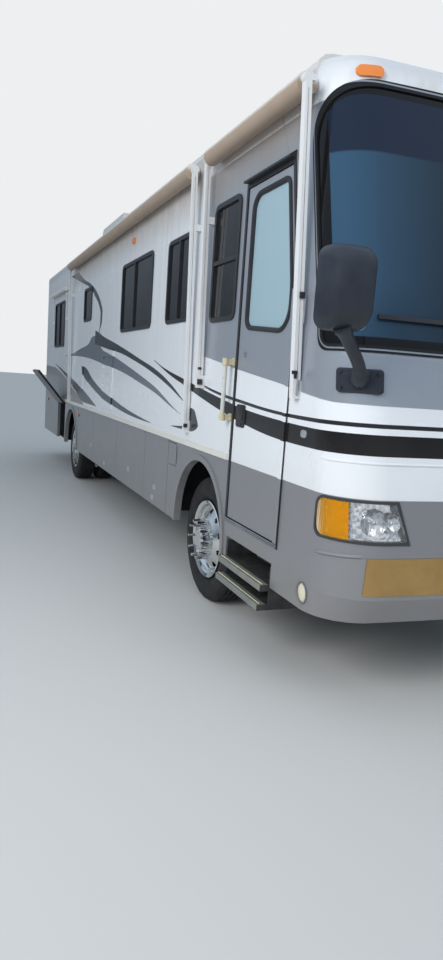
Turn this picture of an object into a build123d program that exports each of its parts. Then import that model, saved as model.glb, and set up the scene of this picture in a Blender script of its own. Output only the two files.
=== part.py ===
from build123d import *
import math
import os

# A rear-engined motorhome about 11.8 m long, in millimetres.
# The front faces -Y, the kerb side with the entry door is -X and up is +Z.
# The ground is z = 0. The origin lies on it in the body's middle plane, halfway along the outline.

# Overall sizes
WIDTH = 2565.0
FRONT_REACH = 2290.0       # foremost point, the mirror shells, ahead of the front axle
REAR_REACH = 9560.0        # rearmost point, the tow socket, behind the front axle
WHEELBASE = 6120.0
HALF = WIDTH / 2
AXLE_Y = (FRONT_REACH - REAR_REACH) / 2


def along(distance):
    """Y of a place that is given as a distance behind the front axle."""
    return AXLE_Y + distance


# Heights above the ground
SKIRT_Z = 518.0            # lower edge of the body
RAIL_Z = 1183.0            # lower edge of the rub rail, where the bay doors hinge
RAIL_H = 42.0
RAIL_T = 13.0
FLOOR_Z = 1180.0           # underside of the floor
FLOOR_T = 60.0
EAVES_Z = 3400.0           # top of the side walls
ROOF_Z = 3535.0
EDGE_R = 80.0              # rounding where a wall turns into the roof
CROWN_HALF = 500.0         # half width of the flat top of the roof

# Walls
WALL_T = 50.0
CAP_T = 45.0
ROOF_T = 60.0
CAP_Y = -1425.0            # joint between front cap and side walls, from the front axle
TAILCAP_Y = 9100.0         # joint between side walls and rear cap
TAIL_Y = 9450.0            # rear face of the body
TAIL_CORNER_R = 110.0
FIT = 0.3                  # clearance of a curved face seated in or on another
GAP = 6.0                  # shut line round a door
BARREL_R = 5.0             # hinge barrels, which stand off the face behind them by FIT
STRAP_T = 5.0

# Nose: the profile on the centre line, from the skirt up to the eaves
NOSE_BOW_R = 13000.0       # radius of the bow of the front in plan
CORNER_R = 285.0           # plan radius of the front corners
NOSE_TUCK = (SKIRT_Z, -2055.0)
NOSE_BUMPER_LOW = (665.0, -2135.0)
NOSE_BUMPER_TOP = (905.0, -2150.0)
NOSE_BELT = (1193.0, -2112.0)
NOSE_CREASE = (1360.0, -2085.0)
NOSE_SILL = (1900.0, -2010.0)
NOSE_BROW = (3330.0, -1705.0)
NOSE_EAVES = (EAVES_Z, -1675.0)
# above the eaves: turn of the roof rounding in degrees, nose on the centre line
BROW_TURNS = [(30.0, -1632.0), (60.0, -1562.0), (90.0, -1480.0)]
CROWN_NOSE = -1430.0
CAP_DEPTH = 1700.0         # how far back the nose blank runs before it is cut at the joint


def nose_outline(height, half, nose, corner):
    """Plan outline: straight sides, rounded corners and a gently bowed front."""
    bow_y = along(nose) + NOSE_BOW_R
    corner_x = half - corner
    corner_y = bow_y - math.sqrt((NOSE_BOW_R - corner) ** 2 - corner_x ** 2)
    stretch = NOSE_BOW_R / (NOSE_BOW_R - corner)
    end_x = corner_x * stretch
    end_y = bow_y + (corner_y - bow_y) * stretch
    turn = math.atan2(end_y - corner_y, end_x - corner_x) / 2
    mid_x = corner_x + corner * math.cos(turn)
    mid_y = corner_y + corner * math.sin(turn)
    back = along(nose) + CAP_DEPTH
    front = ThreePointArc((-end_x, end_y, height), (0, along(nose), height), (end_x, end_y, height))
    right_corner = ThreePointArc((end_x, end_y, height), (mid_x, mid_y, height), (half, corner_y, height))
    left_corner = ThreePointArc((-half, corner_y, height), (-mid_x, mid_y, height), (-end_x, end_y, height))
    return Wire([
        Line((-half, back, height), (-half, corner_y, height)),
        left_corner,
        front,
        right_corner,
        Line((half, corner_y, height), (half, back, height)),
        Line((half, back, height), (-half, back, height)),
    ])


def nose_blank(inset):
    """The nose as a full body, every face moved inwards by inset."""
    corner = CORNER_R - inset
    rows = []
    for height, nose in (NOSE_TUCK, NOSE_BUMPER_LOW, NOSE_BUMPER_TOP, NOSE_BELT, NOSE_CREASE,
                         NOSE_SILL, NOSE_BROW, NOSE_EAVES):
        rows.append((height, HALF - inset, nose + inset, corner))
    for turn, nose in BROW_TURNS:
        lift = (EDGE_R - inset) * math.sin(math.radians(turn))
        reach = (EDGE_R - inset) * math.cos(math.radians(turn))
        rows.append((EAVES_Z + lift, HALF - EDGE_R + reach, nose + inset, corner))
    rows.append((ROOF_Z - inset, CROWN_HALF, CROWN_NOSE + inset, corner))
    blank = Solid.make_loft([nose_outline(*row) for row in rows], True)
    keep = slab(-HALF - 50, HALF + 50, along(-3000), along(CAP_Y), 0, ROOF_Z + 50)
    return blank & keep


def slab(x0, x1, y0, y1, z0, z1):
    """A rectangular block between two corners."""
    middle = ((x0 + x1) / 2, (y0 + y1) / 2, (z0 + z1) / 2)
    return Pos(*middle) * Box(abs(x1 - x0), abs(y1 - y0), abs(z1 - z0))


def side_panel(y0, y1, z0, z1, x0, x1, corner=0.0):
    """A panel that stands in the YZ plane, from x0 to x1, with rounded corners."""
    width = y1 - y0
    height = z1 - z0
    outline = RectangleRounded(width, height, corner) if corner else Rectangle(width, height)
    sketch = Plane.YZ.offset(min(x0, x1)) * (Pos((y0 + y1) / 2, (z0 + z1) / 2) * outline)
    return extrude(sketch, abs(x1 - x0))


def side_prism(outline, x0, x1):
    """Raises an outline drawn in Y and Z into a body between two places across the part."""
    return extrude(Plane.YZ.offset(min(x0, x1)) * outline, abs(x1 - x0))


def rounded(outline, corners, radii):
    """Rounds each corner of an outline by its own radius."""
    for corner, radius in zip(corners, radii):
        outline = fillet(outline.vertices().sort_by_distance(corner)[0], radius)
    return outline


def profile_along_x(points, x0, x1):
    """A closed outline in Y and Z, carried from x0 to x1."""
    outline = Plane.YZ.offset(x0) * make_face(Polyline(*points, close=True))
    return extrude(outline, x1 - x0)


def rod(start, end, radius):
    """Round bar between two points."""
    direction = Vector(*end) - Vector(*start)
    return extrude(Plane(origin=start, z_dir=direction) * Circle(radius), direction.length)


def barrel(start, end):
    """Hinge barrel between two points."""
    return rod(start, end, BARREL_R)


def both_sides(shape):
    """The piece and its mirror image on the other side of the vehicle."""
    return [shape, mirror(shape, about=Plane.YZ)]


# Openings in the side walls
ARCH_R = 540.0
ARCH_Z = 560.0             # height of the centre of an arch
ARCH_LIP = 44.0            # width of the raised lip round an arch
ARCH_PROUD = 12.0
DOOR_FRONT = -1413.0       # outer edges of the entry door's frame, from the front axle
DOOR_REAR = -585.0
DOOR_SILL = 765.0
DOOR_HEAD = 2988.0
DOOR_KINK_Z = 2280.0       # above this the doorway's front edge leans back with the windscreen
DOOR_RAKE = 150.0          # how far it has leaned back at the head
DOOR_FRAME_W = 28.0
STEP_FRONT = -1355.0       # notch in the skirt for the step
STEP_REAR = -633.0
STEP_NOTCH_Z = 665.0

# bay doors between the wheels and the one behind the rear wheels: front edge, rear edge,
# from the front axle
BAYS = [(830.0, 1610.0), (1610.0, 2860.0), (2860.0, 4270.0), (4270.0, 5470.0)]
BAY_FRONT = BAYS[0][0]
BAY_REAR = BAYS[-1][1]
TAIL_BAY = (WHEELBASE + 645.0, WHEELBASE + 1455.0)
BAY_T = 38.0
RAIL_END = WHEELBASE + 570          # rear end of the rub rail, ahead of the tail bay's hinge
TAIL_BAY_SWING = 140.0     # how far the kerb side's tail bay door stands open
HINGE_T = 3.0              # hinge plate on the wall over a tail bay, thin so the door swings past it

# windows: front edge, rear edge, sill, head, upright bar, cross bar, measured over the frames
KERB_WINDOWS = [
    (-510.0, -15.0, 2135.0, 2965.0, None, 2555.0),
    (470.0, 1135.0, 2177.0, 2887.0, 800.0, None),
    (1628.0, 2908.0, 2170.0, 2904.0, 2338.0, None),
    (4700.0, 5280.0, 2403.0, 2865.0, None, None),
    (7100.0, 8250.0, 2096.0, 2866.0, 7675.0, None),
]
DRIVER_WINDOWS = [
    (-1290.0, -330.0, 2075.0, 2965.0, -810.0, None),
    (470.0, 1735.0, 2177.0, 2887.0, 1100.0, None),
    (2600.0, 3870.0, 2170.0, 2904.0, 3235.0, None),
    (7100.0, 8250.0, 2096.0, 2866.0, 7675.0, None),
]
WINDOW_R = 70.0
WINDOW_FACE = 34.0         # width of the black frame seen from outside
WINDOW_LAP = 16.0          # how far the frame laps over the wall
WINDOW_PROUD = 11.0
PANE_T = 6.0


def wheel_arches(x0, x1):
    cutters = []
    for axle in (0.0, WHEELBASE):
        round_top = Pos(x0, along(axle), ARCH_Z) * Rot(0, 90, 0) * Cylinder(
            ARCH_R, x1 - x0, align=(Align.CENTER, Align.CENTER, Align.MIN))
        legs = slab(x0, x1, along(axle - ARCH_R), along(axle + ARCH_R), 0, ARCH_Z)
        cutters.append(round_top + legs)
    return cutters


def arch_trim(axle):
    """Raised lip round a wheel arch."""
    x0 = -HALF - ARCH_PROUD
    ring = flat_disc(x0, -HALF, along(axle), ARCH_Z, ARCH_R + ARCH_LIP) + slab(
        x0, -HALF, along(axle - ARCH_R - ARCH_LIP), along(axle + ARCH_R + ARCH_LIP), SKIRT_Z, ARCH_Z)
    ring -= flat_disc(x0 - 10, -HALF + 10, along(axle), ARCH_Z, ARCH_R)
    ring -= slab(x0 - 10, -HALF + 10, along(axle - ARCH_R), along(axle + ARCH_R), 0, ARCH_Z)
    reach = ARCH_R + ARCH_LIP + 10
    ring -= slab(x0 - 10, -HALF + 10, along(axle - reach), along(axle + reach), -100, SKIRT_Z)
    return ring


def side_wall(windows, with_door):
    """Laminated wall above the rail, with its windows cut, on the kerb side of the model."""
    x0 = -HALF
    x1 = -HALF + WALL_T
    wall = slab(x0, x1, along(CAP_Y), along(TAILCAP_Y), RAIL_Z, EAVES_Z)
    for front, rear, sill, head, upright, cross in windows:
        wall -= side_panel(along(front + WINDOW_LAP), along(rear - WINDOW_LAP), sill + WINDOW_LAP,
                           head - WINDOW_LAP, x0 - 10, x1 + 10, WINDOW_R - WINDOW_LAP)
    if with_door:
        wall -= side_prism(door_outline(), x0 - 10, x1 + 10)
    return wall


def skirt(with_door):
    """Fixed lower panels of one side: ahead of the bays and behind them, with the arches."""
    x0 = -HALF
    x1 = -HALF + WALL_T
    front = slab(x0, x1, along(CAP_Y), along(BAY_FRONT - GAP), SKIRT_Z, RAIL_Z)
    rear = slab(x0, x1, along(BAY_REAR + GAP), along(TAILCAP_Y), SKIRT_Z, RAIL_Z)
    rear -= slab(x0 - 10, x1 + 10, along(TAIL_BAY[0] - GAP / 2), along(TAIL_BAY[1] + GAP / 2), 0, RAIL_Z)
    for cutter in wheel_arches(x0 - 10, x1 + 10):
        front -= cutter
        rear -= cutter
    front += arch_trim(0.0)
    rear += arch_trim(WHEELBASE)
    if with_door:
        front -= slab(x0 - 10, x1 + 10, along(DOOR_FRONT), along(DOOR_REAR), DOOR_SILL, RAIL_Z + 10)
        front -= slab(x0 - 10, x1 + 10, along(STEP_FRONT), along(STEP_REAR), 0, STEP_NOTCH_Z)
        front -= fuel_door_blank(FUEL_GAP)
    return front, rear


# Fuel door behind the front arch
FUEL_FRONT = 600.0
FUEL_REAR = 808.0
FUEL_SILL = 975.0
FUEL_HEAD = 1160.0
FUEL_T = 14.0
FUEL_GAP = 5.0
FUEL_PIN_Y = 591.0


def fuel_door_blank(grow):
    return side_panel(along(FUEL_FRONT - grow), along(FUEL_REAR + grow), FUEL_SILL - grow,
                      FUEL_HEAD + grow, -HALF - 10, -HALF + WALL_T + 10, 18)


def fuel_door():
    face = -HALF - 2
    door = side_panel(along(FUEL_FRONT), along(FUEL_REAR), FUEL_SILL, FUEL_HEAD, face, face + FUEL_T, 16)
    pin = (-HALF - BARREL_R - FIT, along(FUEL_PIN_Y))
    low = FUEL_SILL + 25
    top = FUEL_HEAD - 25
    door += slab(pin[0] - 2, face, pin[1], along(FUEL_FRONT + 15), low, top)
    return door + barrel((*pin, low), (*pin, top))


def window_frame(front, rear, sill, head, upright, cross):
    """Black frame: a flange over the wall, a neck in the opening, and the bars."""
    outer = -HALF - WINDOW_PROUD
    flange = side_panel(along(front), along(rear), sill, head, outer, -HALF, WINDOW_R)
    neck = side_panel(along(front + WINDOW_LAP), along(rear - WINDOW_LAP), sill + WINDOW_LAP,
                      head - WINDOW_LAP, -HALF, -HALF + WALL_T, WINDOW_R - WINDOW_LAP)
    clear = side_panel(along(front + WINDOW_FACE), along(rear - WINDOW_FACE), sill + WINDOW_FACE,
                       head - WINDOW_FACE, outer - 10, -HALF + WALL_T + 10, WINDOW_R - WINDOW_FACE)
    frame = flange + neck - clear
    bar = 15.0
    if upright is not None:
        frame += slab(outer, -HALF + PANE_T, along(upright - bar), along(upright + bar),
                      sill + WINDOW_FACE / 2, head - WINDOW_FACE / 2)
    if cross is not None:
        frame += slab(outer, -HALF + PANE_T, along(front + WINDOW_FACE / 2),
                      along(rear - WINDOW_FACE / 2), cross - bar, cross + bar)
    return frame


def window_pane(front, rear, sill, head):
    """One pane that fills the clear opening behind the bars."""
    x0 = -HALF + PANE_T
    return side_panel(along(front + WINDOW_FACE), along(rear - WINDOW_FACE), sill + WINDOW_FACE,
                      head - WINDOW_FACE, x0, x0 + PANE_T, WINDOW_R - WINDOW_FACE)


# Windscreen: rear edge raked in side view, wrapped round the corners
SCREEN_SILL = 1915.0
SCREEN_HEAD = 3298.0
SCREEN_FOOT_Y = -1703.0
SCREEN_RAKE = 0.2297       # how far the rear edge runs back for each unit of height
SCREEN_FOOT_R = 85.0
SCREEN_HEAD_R = 260.0
SEAL_W = 36.0
SEAL_PROUD = 6.0
GLASS_SINK = 5.0
GLASS_T = 9.0


def screen_prism(inset):
    """Side-view outline of the windscreen, carried across the whole width."""
    slant = math.hypot(1.0, SCREEN_RAKE)
    foot = SCREEN_FOOT_Y - inset * slant
    sill = SCREEN_SILL + inset
    head = SCREEN_HEAD - inset
    foot_y = foot + (sill - SCREEN_SILL) * SCREEN_RAKE
    head_y = foot + (head - SCREEN_SILL) * SCREEN_RAKE
    points = [(along(-2600), sill), (along(foot_y), sill), (along(head_y), head), (along(-2600), head)]
    outline = make_face(Polyline(*points, close=True))
    rear_corners = outline.vertices().sort_by(Axis.X)[-2:]
    low, high = sorted(rear_corners, key=lambda v: v.Y)
    outline = fillet(low, SCREEN_FOOT_R - inset)
    high = outline.vertices().sort_by(Axis.X)[-1]
    outline = fillet(high, SCREEN_HEAD_R - inset)
    return extrude(Plane.YZ.offset(-HALF - 60) * outline, WIDTH + 120)


# Headlamps: wrapped round the front corners
LAMP_LOW = 958.0
LAMP_TOP = 1178.0
LAMP_REAR = -1820.0        # rear edge on the flank, from the front axle
LAMP_R = 58.0              # rounding of its rear corners
LAMP_INNER_TOP = 955.0     # distance of the inner end from the centre line, top and bottom
LAMP_INNER_LOW = 885.0
LAMP_SEAL = 14.0


def lamp_prism(inset):
    """Blank that picks the left-hand lamp out of the nose wall."""
    low = LAMP_LOW + inset
    top = LAMP_TOP - inset
    x_low = -LAMP_INNER_LOW - inset
    x_top = -LAMP_INNER_TOP - inset
    face = Plane.XZ.offset(-along(LAMP_REAR + 100)) * make_face(Polyline(
        (-HALF - 100, low), (x_low, low), (x_top, top), (-HALF - 100, top), close=True))
    blank = extrude(face, 900)
    front = along(-2600)
    rear = along(LAMP_REAR - inset)
    flank = RectangleRounded(2 * (rear - front), top - low, LAMP_R - inset)
    return blank & extrude(Plane.YZ.offset(-HALF - 100) * (Pos(front, (low + top) / 2) * flank), HALF)


# Front trim panel in the bumper
TRIM_LOW = 690.0
TRIM_TOP = 890.0
TRIM_HALF = 1115.0
TRIM_T = 4.0

# Docking lamps low on the flanks
DOCK_Y = -1745.0
DOCK_Z = 612.0
DOCK_R = 64.0


def flat_disc(x0, x1, y, z, radius):
    """A disc whose axis is across the vehicle."""
    return Pos(x0, y, z) * Rot(0, 90, 0) * Cylinder(
        radius, x1 - x0, align=(Align.CENTER, Align.CENTER, Align.MIN))


def front_cap(outer, inner):
    cap = outer - inner
    cap -= screen_prism(0)
    for lamp in both_sides(lamp_prism(0)):
        cap -= lamp
    for dock in both_sides(flat_disc(-HALF - 20, -HALF + CAP_T + 20, along(DOCK_Y), DOCK_Z, DOCK_R)):
        cap -= dock
    return cap


def roof_outline(inset):
    """Half outline of the roof in X and Z, from the eaves to the middle."""
    points = [(HALF - inset, EAVES_Z)]
    for turn, nose in BROW_TURNS:
        angle = math.radians(turn)
        points.append((HALF - EDGE_R + (EDGE_R - inset) * math.cos(angle),
                       EAVES_Z + (EDGE_R - inset) * math.sin(angle)))
    points.append((CROWN_HALF, ROOF_Z - inset))
    return points


def roof():
    outer = roof_outline(0)
    inner = roof_outline(ROOF_T)
    loop = outer + [(-x, z) for x, z in reversed(outer)]
    loop += [(-x, z) for x, z in inner] + list(reversed(inner))
    section = Plane.XZ.offset(-along(TAILCAP_Y)) * make_face(Polyline(*loop, close=True))
    return extrude(section, TAILCAP_Y - CAP_Y)


def tail_blank(inset):
    """The tail as a full body: wall section, plan with round corners, round upper edge."""
    half = HALF - inset
    outer = roof_outline(inset)
    loop = [(half, SKIRT_Z)] + outer + [(-x, z) for x, z in reversed(outer)] + [(-half, SKIRT_Z)]
    across = extrude(Plane.XZ.offset(-along(TAIL_Y + 50)) * make_face(Polyline(*loop, close=True)),
                     TAIL_Y + 50 - TAILCAP_Y)
    depth = 2 * (TAIL_Y - TAILCAP_Y)
    plan = Pos(0, along(TAIL_Y) - inset - depth / 2) * RectangleRounded(
        2 * half, depth, TAIL_CORNER_R - inset)
    plan = extrude(plan, ROOF_Z + 100)
    tall = 2 * (ROOF_Z - SKIRT_Z)
    side = Plane.YZ.offset(-HALF - 50) * (
        Pos(along(TAIL_Y) - inset - depth / 2, ROOF_Z - inset - tall / 2)
        * RectangleRounded(depth, tall, TAIL_CORNER_R - inset))
    side = extrude(side, WIDTH + 100)
    return across & plan & side


# Rear door over the engine
ENGINE_DOOR_HALF = 560.0
ENGINE_DOOR_LOW = 640.0
ENGINE_DOOR_TOP = 1520.0
ENGINE_DOOR_T = 36.0
LOUVRES = 9
LOUVRE_PITCH = 62.0
LOUVRE_HALF = 440.0


def rear_cap():
    cap = tail_blank(0) - tail_blank(CAP_T)
    cap -= slab(-ENGINE_DOOR_HALF - GAP, ENGINE_DOOR_HALF + GAP, along(TAIL_Y) - 200,
                along(TAIL_Y) + 100, ENGINE_DOOR_LOW - GAP, ENGINE_DOOR_TOP + GAP)
    cap -= slab(-TOW_NOTCH, TOW_NOTCH, along(TAIL_Y) - 200, along(TAIL_Y) + 100, 0, SOCKET_Z + TOW_NOTCH)
    for x in (-TAIL_LAMP_X, TAIL_LAMP_X):
        cap -= tail_lamp(x, FIT)
    return cap


def engine_door():
    """Rear door with a field of slanting louvres."""
    outer = along(TAIL_Y)
    door = slab(-ENGINE_DOOR_HALF, ENGINE_DOOR_HALF, outer - ENGINE_DOOR_T, outer,
                ENGINE_DOOR_LOW, ENGINE_DOOR_TOP)
    first = ENGINE_DOOR_LOW + 170.0
    for number in range(LOUVRES):
        z = first + number * LOUVRE_PITCH
        slot = Pos(0, outer, z) * Rot(35, 0, 0) * Box(2 * LOUVRE_HALF, 40, 16)
        door -= slot
    half = ENGINE_DOOR_HALF - 5
    pin_y = outer + FIT + BARREL_R
    pin_z = ENGINE_DOOR_TOP + GAP + 2
    door += slab(-half, half, outer, pin_y, ENGINE_DOOR_TOP - 30, ENGINE_DOOR_TOP - 1)
    door += slab(-half, half, outer + FIT, pin_y, ENGINE_DOOR_TOP - 2, pin_z)
    return door + barrel((-half, pin_y, pin_z), (half, pin_y, pin_z))


TAIL_LAMP_X = 1085.0
TAIL_LAMP_LOW = 985.0
TAIL_LAMP_TOP = 1425.0
TAIL_LAMP_W = 118.0


def tail_lamp(x, grow=0.0):
    half = TAIL_LAMP_W / 2 + grow
    y0 = along(TAIL_Y) - CAP_T
    y1 = along(TAIL_Y) + 12
    block = RectangleRounded(2 * half, TAIL_LAMP_TOP - TAIL_LAMP_LOW + 2 * grow, 26)
    sketch = Plane.XZ.offset(-y1) * (Pos(x, (TAIL_LAMP_LOW + TAIL_LAMP_TOP) / 2) * block)
    return extrude(sketch, y1 - y0)


# Vents and hatches on the side walls: front, rear, sill, head, proud of the wall
FRIDGE_VENT = (3225.0, 3820.0, 1270.0, 2000.0, 10.0)
SLOT_TOPS = (1905.0, 1805.0, 1700.0, 1580.0)
SLOT_H = 34.0
SERVICE_HATCH = (5200.0, 6170.0, 1425.0, 1790.0, 7.0)


def wall_plate(front, rear, sill, head, proud):
    """Flat plate on the kerb wall, with rounded corners."""
    return side_panel(along(front), along(rear), sill, head, -HALF - proud, -HALF, 24)


def fridge_vent():
    """Vent plate with its slots cut through."""
    front, rear, sill, head, proud = FRIDGE_VENT
    plate = wall_plate(*FRIDGE_VENT)
    for top in SLOT_TOPS:
        plate -= side_panel(along(front + 45), along(rear - 45), top - SLOT_H, top, -HALF - proud - 5,
                            -HALF + 5, SLOT_H / 2 - 1)
    return plate


# Floor with the stair well behind the entry door
WELL_X = -700.0            # inner wall of the stair well
WELL_T = 20.0
WELL_FLOOR = 705.0
WELL_STEP_Z = 955.0
WELL_STEP_X = -960.0


def floor():
    inner = HALF - WALL_T
    deck = slab(-inner, inner, along(CAP_Y), along(TAIL_Y - 400), FLOOR_Z, FLOOR_Z + FLOOR_T)
    nose = slab(-900, 900, along(-1990), along(CAP_Y), FLOOR_Z, FLOOR_Z + FLOOR_T)
    y0 = along(DOOR_FRONT + DOOR_FRAME_W)
    y1 = along(DOOR_REAR - DOOR_FRAME_W)
    deck = deck + nose - slab(-inner - 10, WELL_X, y0, y1, FLOOR_Z - 10, FLOOR_Z + FLOOR_T + 10)
    well = slab(-inner, WELL_X + WELL_T, y0 - WELL_T, y1 + WELL_T, WELL_FLOOR, FLOOR_Z)
    well -= slab(-inner - 10, WELL_X, y0, y1, WELL_FLOOR + WELL_T, FLOOR_Z + 10)
    tread = slab(WELL_STEP_X, WELL_X, y0, y1, WELL_STEP_Z - WELL_T, WELL_STEP_Z)
    riser = slab(WELL_STEP_X, WELL_STEP_X + WELL_T, y0, y1, WELL_FLOOR, WELL_STEP_Z)
    well = deck + well + tread + riser
    for runner in step_runners():
        well += runner
    return well


# Entry door leaf
LEAF_T = 40.0
LEAF_GAP = 6.0
LEAF_FRONT = DOOR_FRONT + DOOR_FRAME_W + LEAF_GAP
LEAF_REAR = DOOR_REAR - DOOR_FRAME_W - LEAF_GAP
LEAF_LOW = DOOR_SILL + DOOR_FRAME_W + LEAF_GAP
LEAF_TOP = DOOR_HEAD - DOOR_FRAME_W - LEAF_GAP
HINGE_TOP = DOOR_KINK_Z - 20
LIGHT_FRONT = -1352.0      # outer edges of the seal round the door's glass
LIGHT_REAR = -706.0
LIGHT_LOW = 2014.0         # at the front; the lower edge rises towards the rear
LIGHT_RISE = 48.0
LIGHT_TOP = 2908.0
LIGHT_SEAL = 20.0
LIGHT_RADII = [60.0, 95.0, 55.0, 420.0, 130.0]
DOOR_PIN_Y = DOOR_FRONT + 8
DOOR_PIN_X = HALF + 6 + BARREL_R + FIT
BROW_H = 42.0              # drip moulding over the door
BROW_OUT = 42.0
BROW_TRIM = 15.0           # it stops this short of the frame's rear corner


def door_outline(inset=0.0):
    """Doorway seen from the side, drawn in Y and Z, or its outline set in all round."""
    corners = [(along(DOOR_REAR), DOOR_SILL), (along(DOOR_REAR), DOOR_HEAD),
               (along(DOOR_FRONT + DOOR_RAKE), DOOR_HEAD), (along(DOOR_FRONT), DOOR_KINK_Z),
               (along(DOOR_FRONT), DOOR_SILL)]
    face = make_face(Polyline(*corners, close=True))
    return offset(face, -inset, kind=Kind.INTERSECTION) if inset else face


def door_frame():
    x0 = -HALF - 6
    x1 = -HALF + WALL_T
    ring = side_prism(door_outline(), x0, x1) - side_prism(door_outline(DOOR_FRAME_W), x0 - 10, x1 + 10)
    brow = profile_drip()
    return ring + brow


def profile_drip():
    """Drip moulding that hoods the door: a wedge that slopes down and out."""
    section = Plane.XZ.offset(-along(DOOR_REAR - BROW_TRIM)) * make_face(Polyline(
        (-HALF, DOOR_HEAD), (-HALF, DOOR_HEAD + BROW_H), (-HALF - BROW_OUT, DOOR_HEAD + 12),
        (-HALF - BROW_OUT, DOOR_HEAD), close=True))
    return extrude(section, DOOR_REAR - DOOR_FRONT - DOOR_RAKE - BROW_TRIM)


def light_outline():
    """Window of the door inside its seal: the front edge follows the door's, the lower edge slopes."""
    rake = DOOR_RAKE / (DOOR_HEAD - DOOR_KINK_Z)
    front = along(LIGHT_FRONT + LIGHT_SEAL)
    rear = along(LIGHT_REAR - LIGHT_SEAL)
    low = LIGHT_LOW + LIGHT_SEAL
    top = LIGHT_TOP - LIGHT_SEAL
    corners = [(rear, low + LIGHT_RISE), (rear, top), (front + rake * (top - DOOR_KINK_Z), top),
               (front, DOOR_KINK_Z), (front, low)]
    return rounded(make_face(Polyline(*corners, close=True)), corners, LIGHT_RADII)


def entry_door():
    leaf = side_prism(door_outline(DOOR_FRAME_W + LEAF_GAP), -HALF, -HALF + LEAF_T)
    leaf -= side_prism(light_outline(), -HALF - 10, -HALF + LEAF_T + 10)
    leaf += slab(-DOOR_PIN_X - STRAP_T / 2, -HALF, along(LEAF_FRONT), along(LEAF_FRONT + 12), LEAF_LOW,
                 HINGE_TOP)
    leaf += slab(-DOOR_PIN_X - STRAP_T / 2, -DOOR_PIN_X + STRAP_T / 2, along(DOOR_PIN_Y),
                 along(LEAF_FRONT + 12), LEAF_LOW, HINGE_TOP)
    leaf += barrel((-DOOR_PIN_X, along(DOOR_PIN_Y), LEAF_LOW), (-DOOR_PIN_X, along(DOOR_PIN_Y), HINGE_TOP))
    return leaf


def entry_door_glass():
    return side_prism(light_outline(), -HALF + 8, -HALF + 16)


# Grab handle behind the door
HANDLE_Y = -548.0
HANDLE_LOW = 1475.0
HANDLE_TOP = 1850.0
HANDLE_OUT = 62.0
HANDLE_R = 15.0


def grab_handle():
    """Clear tube between two cast brackets on the wall."""
    x = -HALF - HANDLE_OUT
    y = along(HANDLE_Y)
    tube = Pos(x, y, HANDLE_LOW) * Cylinder(
        HANDLE_R, HANDLE_TOP - HANDLE_LOW, align=(Align.CENTER, Align.CENTER, Align.MIN))
    for z in (HANDLE_LOW, HANDLE_TOP):
        tube += side_panel(y - 22, y + 22, z - 28, z + 28, -HALF - 12, -HALF, 12)
        tube += slab(x - 4, -HALF - 6, y - 15, y + 15, z - 19, z + 19)
        tube += Pos(x, y, z) * Cylinder(22, 46)
    return tube


# Entry step, drawn out on its runners
TREAD_Y0 = -1340.0
TREAD_Y1 = -648.0
TREAD_OUT = 1338.0         # outer edge when stowed, from the centre line
TREAD_D = 270.0
TREAD_T = 38.0
TREAD_TOPS = (528.0, 408.0)
STEP_ARM_T = 8.0
STEP_ARM_TOP = 640.0
STEP_ARM_END = 800.0       # inner end of the step's sliding arms, from the centre line


def entry_step():
    step = None
    for number, top in enumerate(TREAD_TOPS):
        out = TREAD_OUT + 12.0 * number
        tread = slab(-out, -out + TREAD_D, along(TREAD_Y0), along(TREAD_Y1), top - TREAD_T, top)
        step = tread if step is None else step + tread
    for y in (TREAD_Y0, TREAD_Y1 - STEP_ARM_T):
        low = TREAD_TOPS[1] - TREAD_T
        step += slab(-TREAD_OUT + 60, -TREAD_OUT + TREAD_D, along(y), along(y + STEP_ARM_T),
                     low, STEP_ARM_TOP)
        step += slab(-TREAD_OUT + 60, -STEP_ARM_END, along(y), along(y + STEP_ARM_T),
                     STEP_ARM_TOP - 60, STEP_ARM_TOP)
    return step


def step_runners():
    """Channels under the stair well that carry the step."""
    runners = []
    for y, side in ((TREAD_Y0, -1), (TREAD_Y1, 1)):
        near = along(y) + side * FIT
        far = along(y) + side * 10
        plate = slab(-1225, -780, near, far, STEP_ARM_TOP - 70, WELL_FLOOR)
        runners.append(plate)
    return runners


# Bays below the floor
BAY_BACK_X = 520.0
BAY_SHEET = 12.0
BAY_FLOOR_Z = 540.0


def bay_box(bays):
    """One run of lockers: back, bottom, and a wall at each bay's end."""
    x0 = -HALF + BAY_T + GAP
    front = bays[0][0]
    rear = bays[-1][1]
    back = slab(-BAY_BACK_X - BAY_SHEET, -BAY_BACK_X, along(front), along(rear), BAY_FLOOR_Z, FLOOR_Z)
    tub = back + slab(x0, -BAY_BACK_X, along(front), along(rear), BAY_FLOOR_Z, BAY_FLOOR_Z + BAY_SHEET)
    stations = [front + BAY_SHEET / 2] + [bay[1] for bay in bays[:-1]] + [rear - BAY_SHEET / 2]
    for station in stations:
        tub += slab(x0, -BAY_BACK_X, along(station - BAY_SHEET / 2), along(station + BAY_SHEET / 2),
                    BAY_FLOOR_Z, FLOOR_Z)
    return tub


BAY_PIN_X = HALF + BARREL_R
BAY_PIN_Z = RAIL_Z - FIT - BARREL_R


def bay_door(front, rear):
    """Lower door that hangs from the rail by a hinge along its upper edge."""
    y0 = along(front + GAP / 2)
    y1 = along(rear - GAP / 2)
    door = slab(-HALF, -HALF + BAY_T, y0, y1, SKIRT_Z, RAIL_Z - GAP)
    door += slab(-BAY_PIN_X, -HALF, y0 + 5, y1 - 5, BAY_PIN_Z - 20, BAY_PIN_Z)
    return door + barrel((-BAY_PIN_X, y0 + 5, BAY_PIN_Z), (-BAY_PIN_X, y1 - 5, BAY_PIN_Z))


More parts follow.
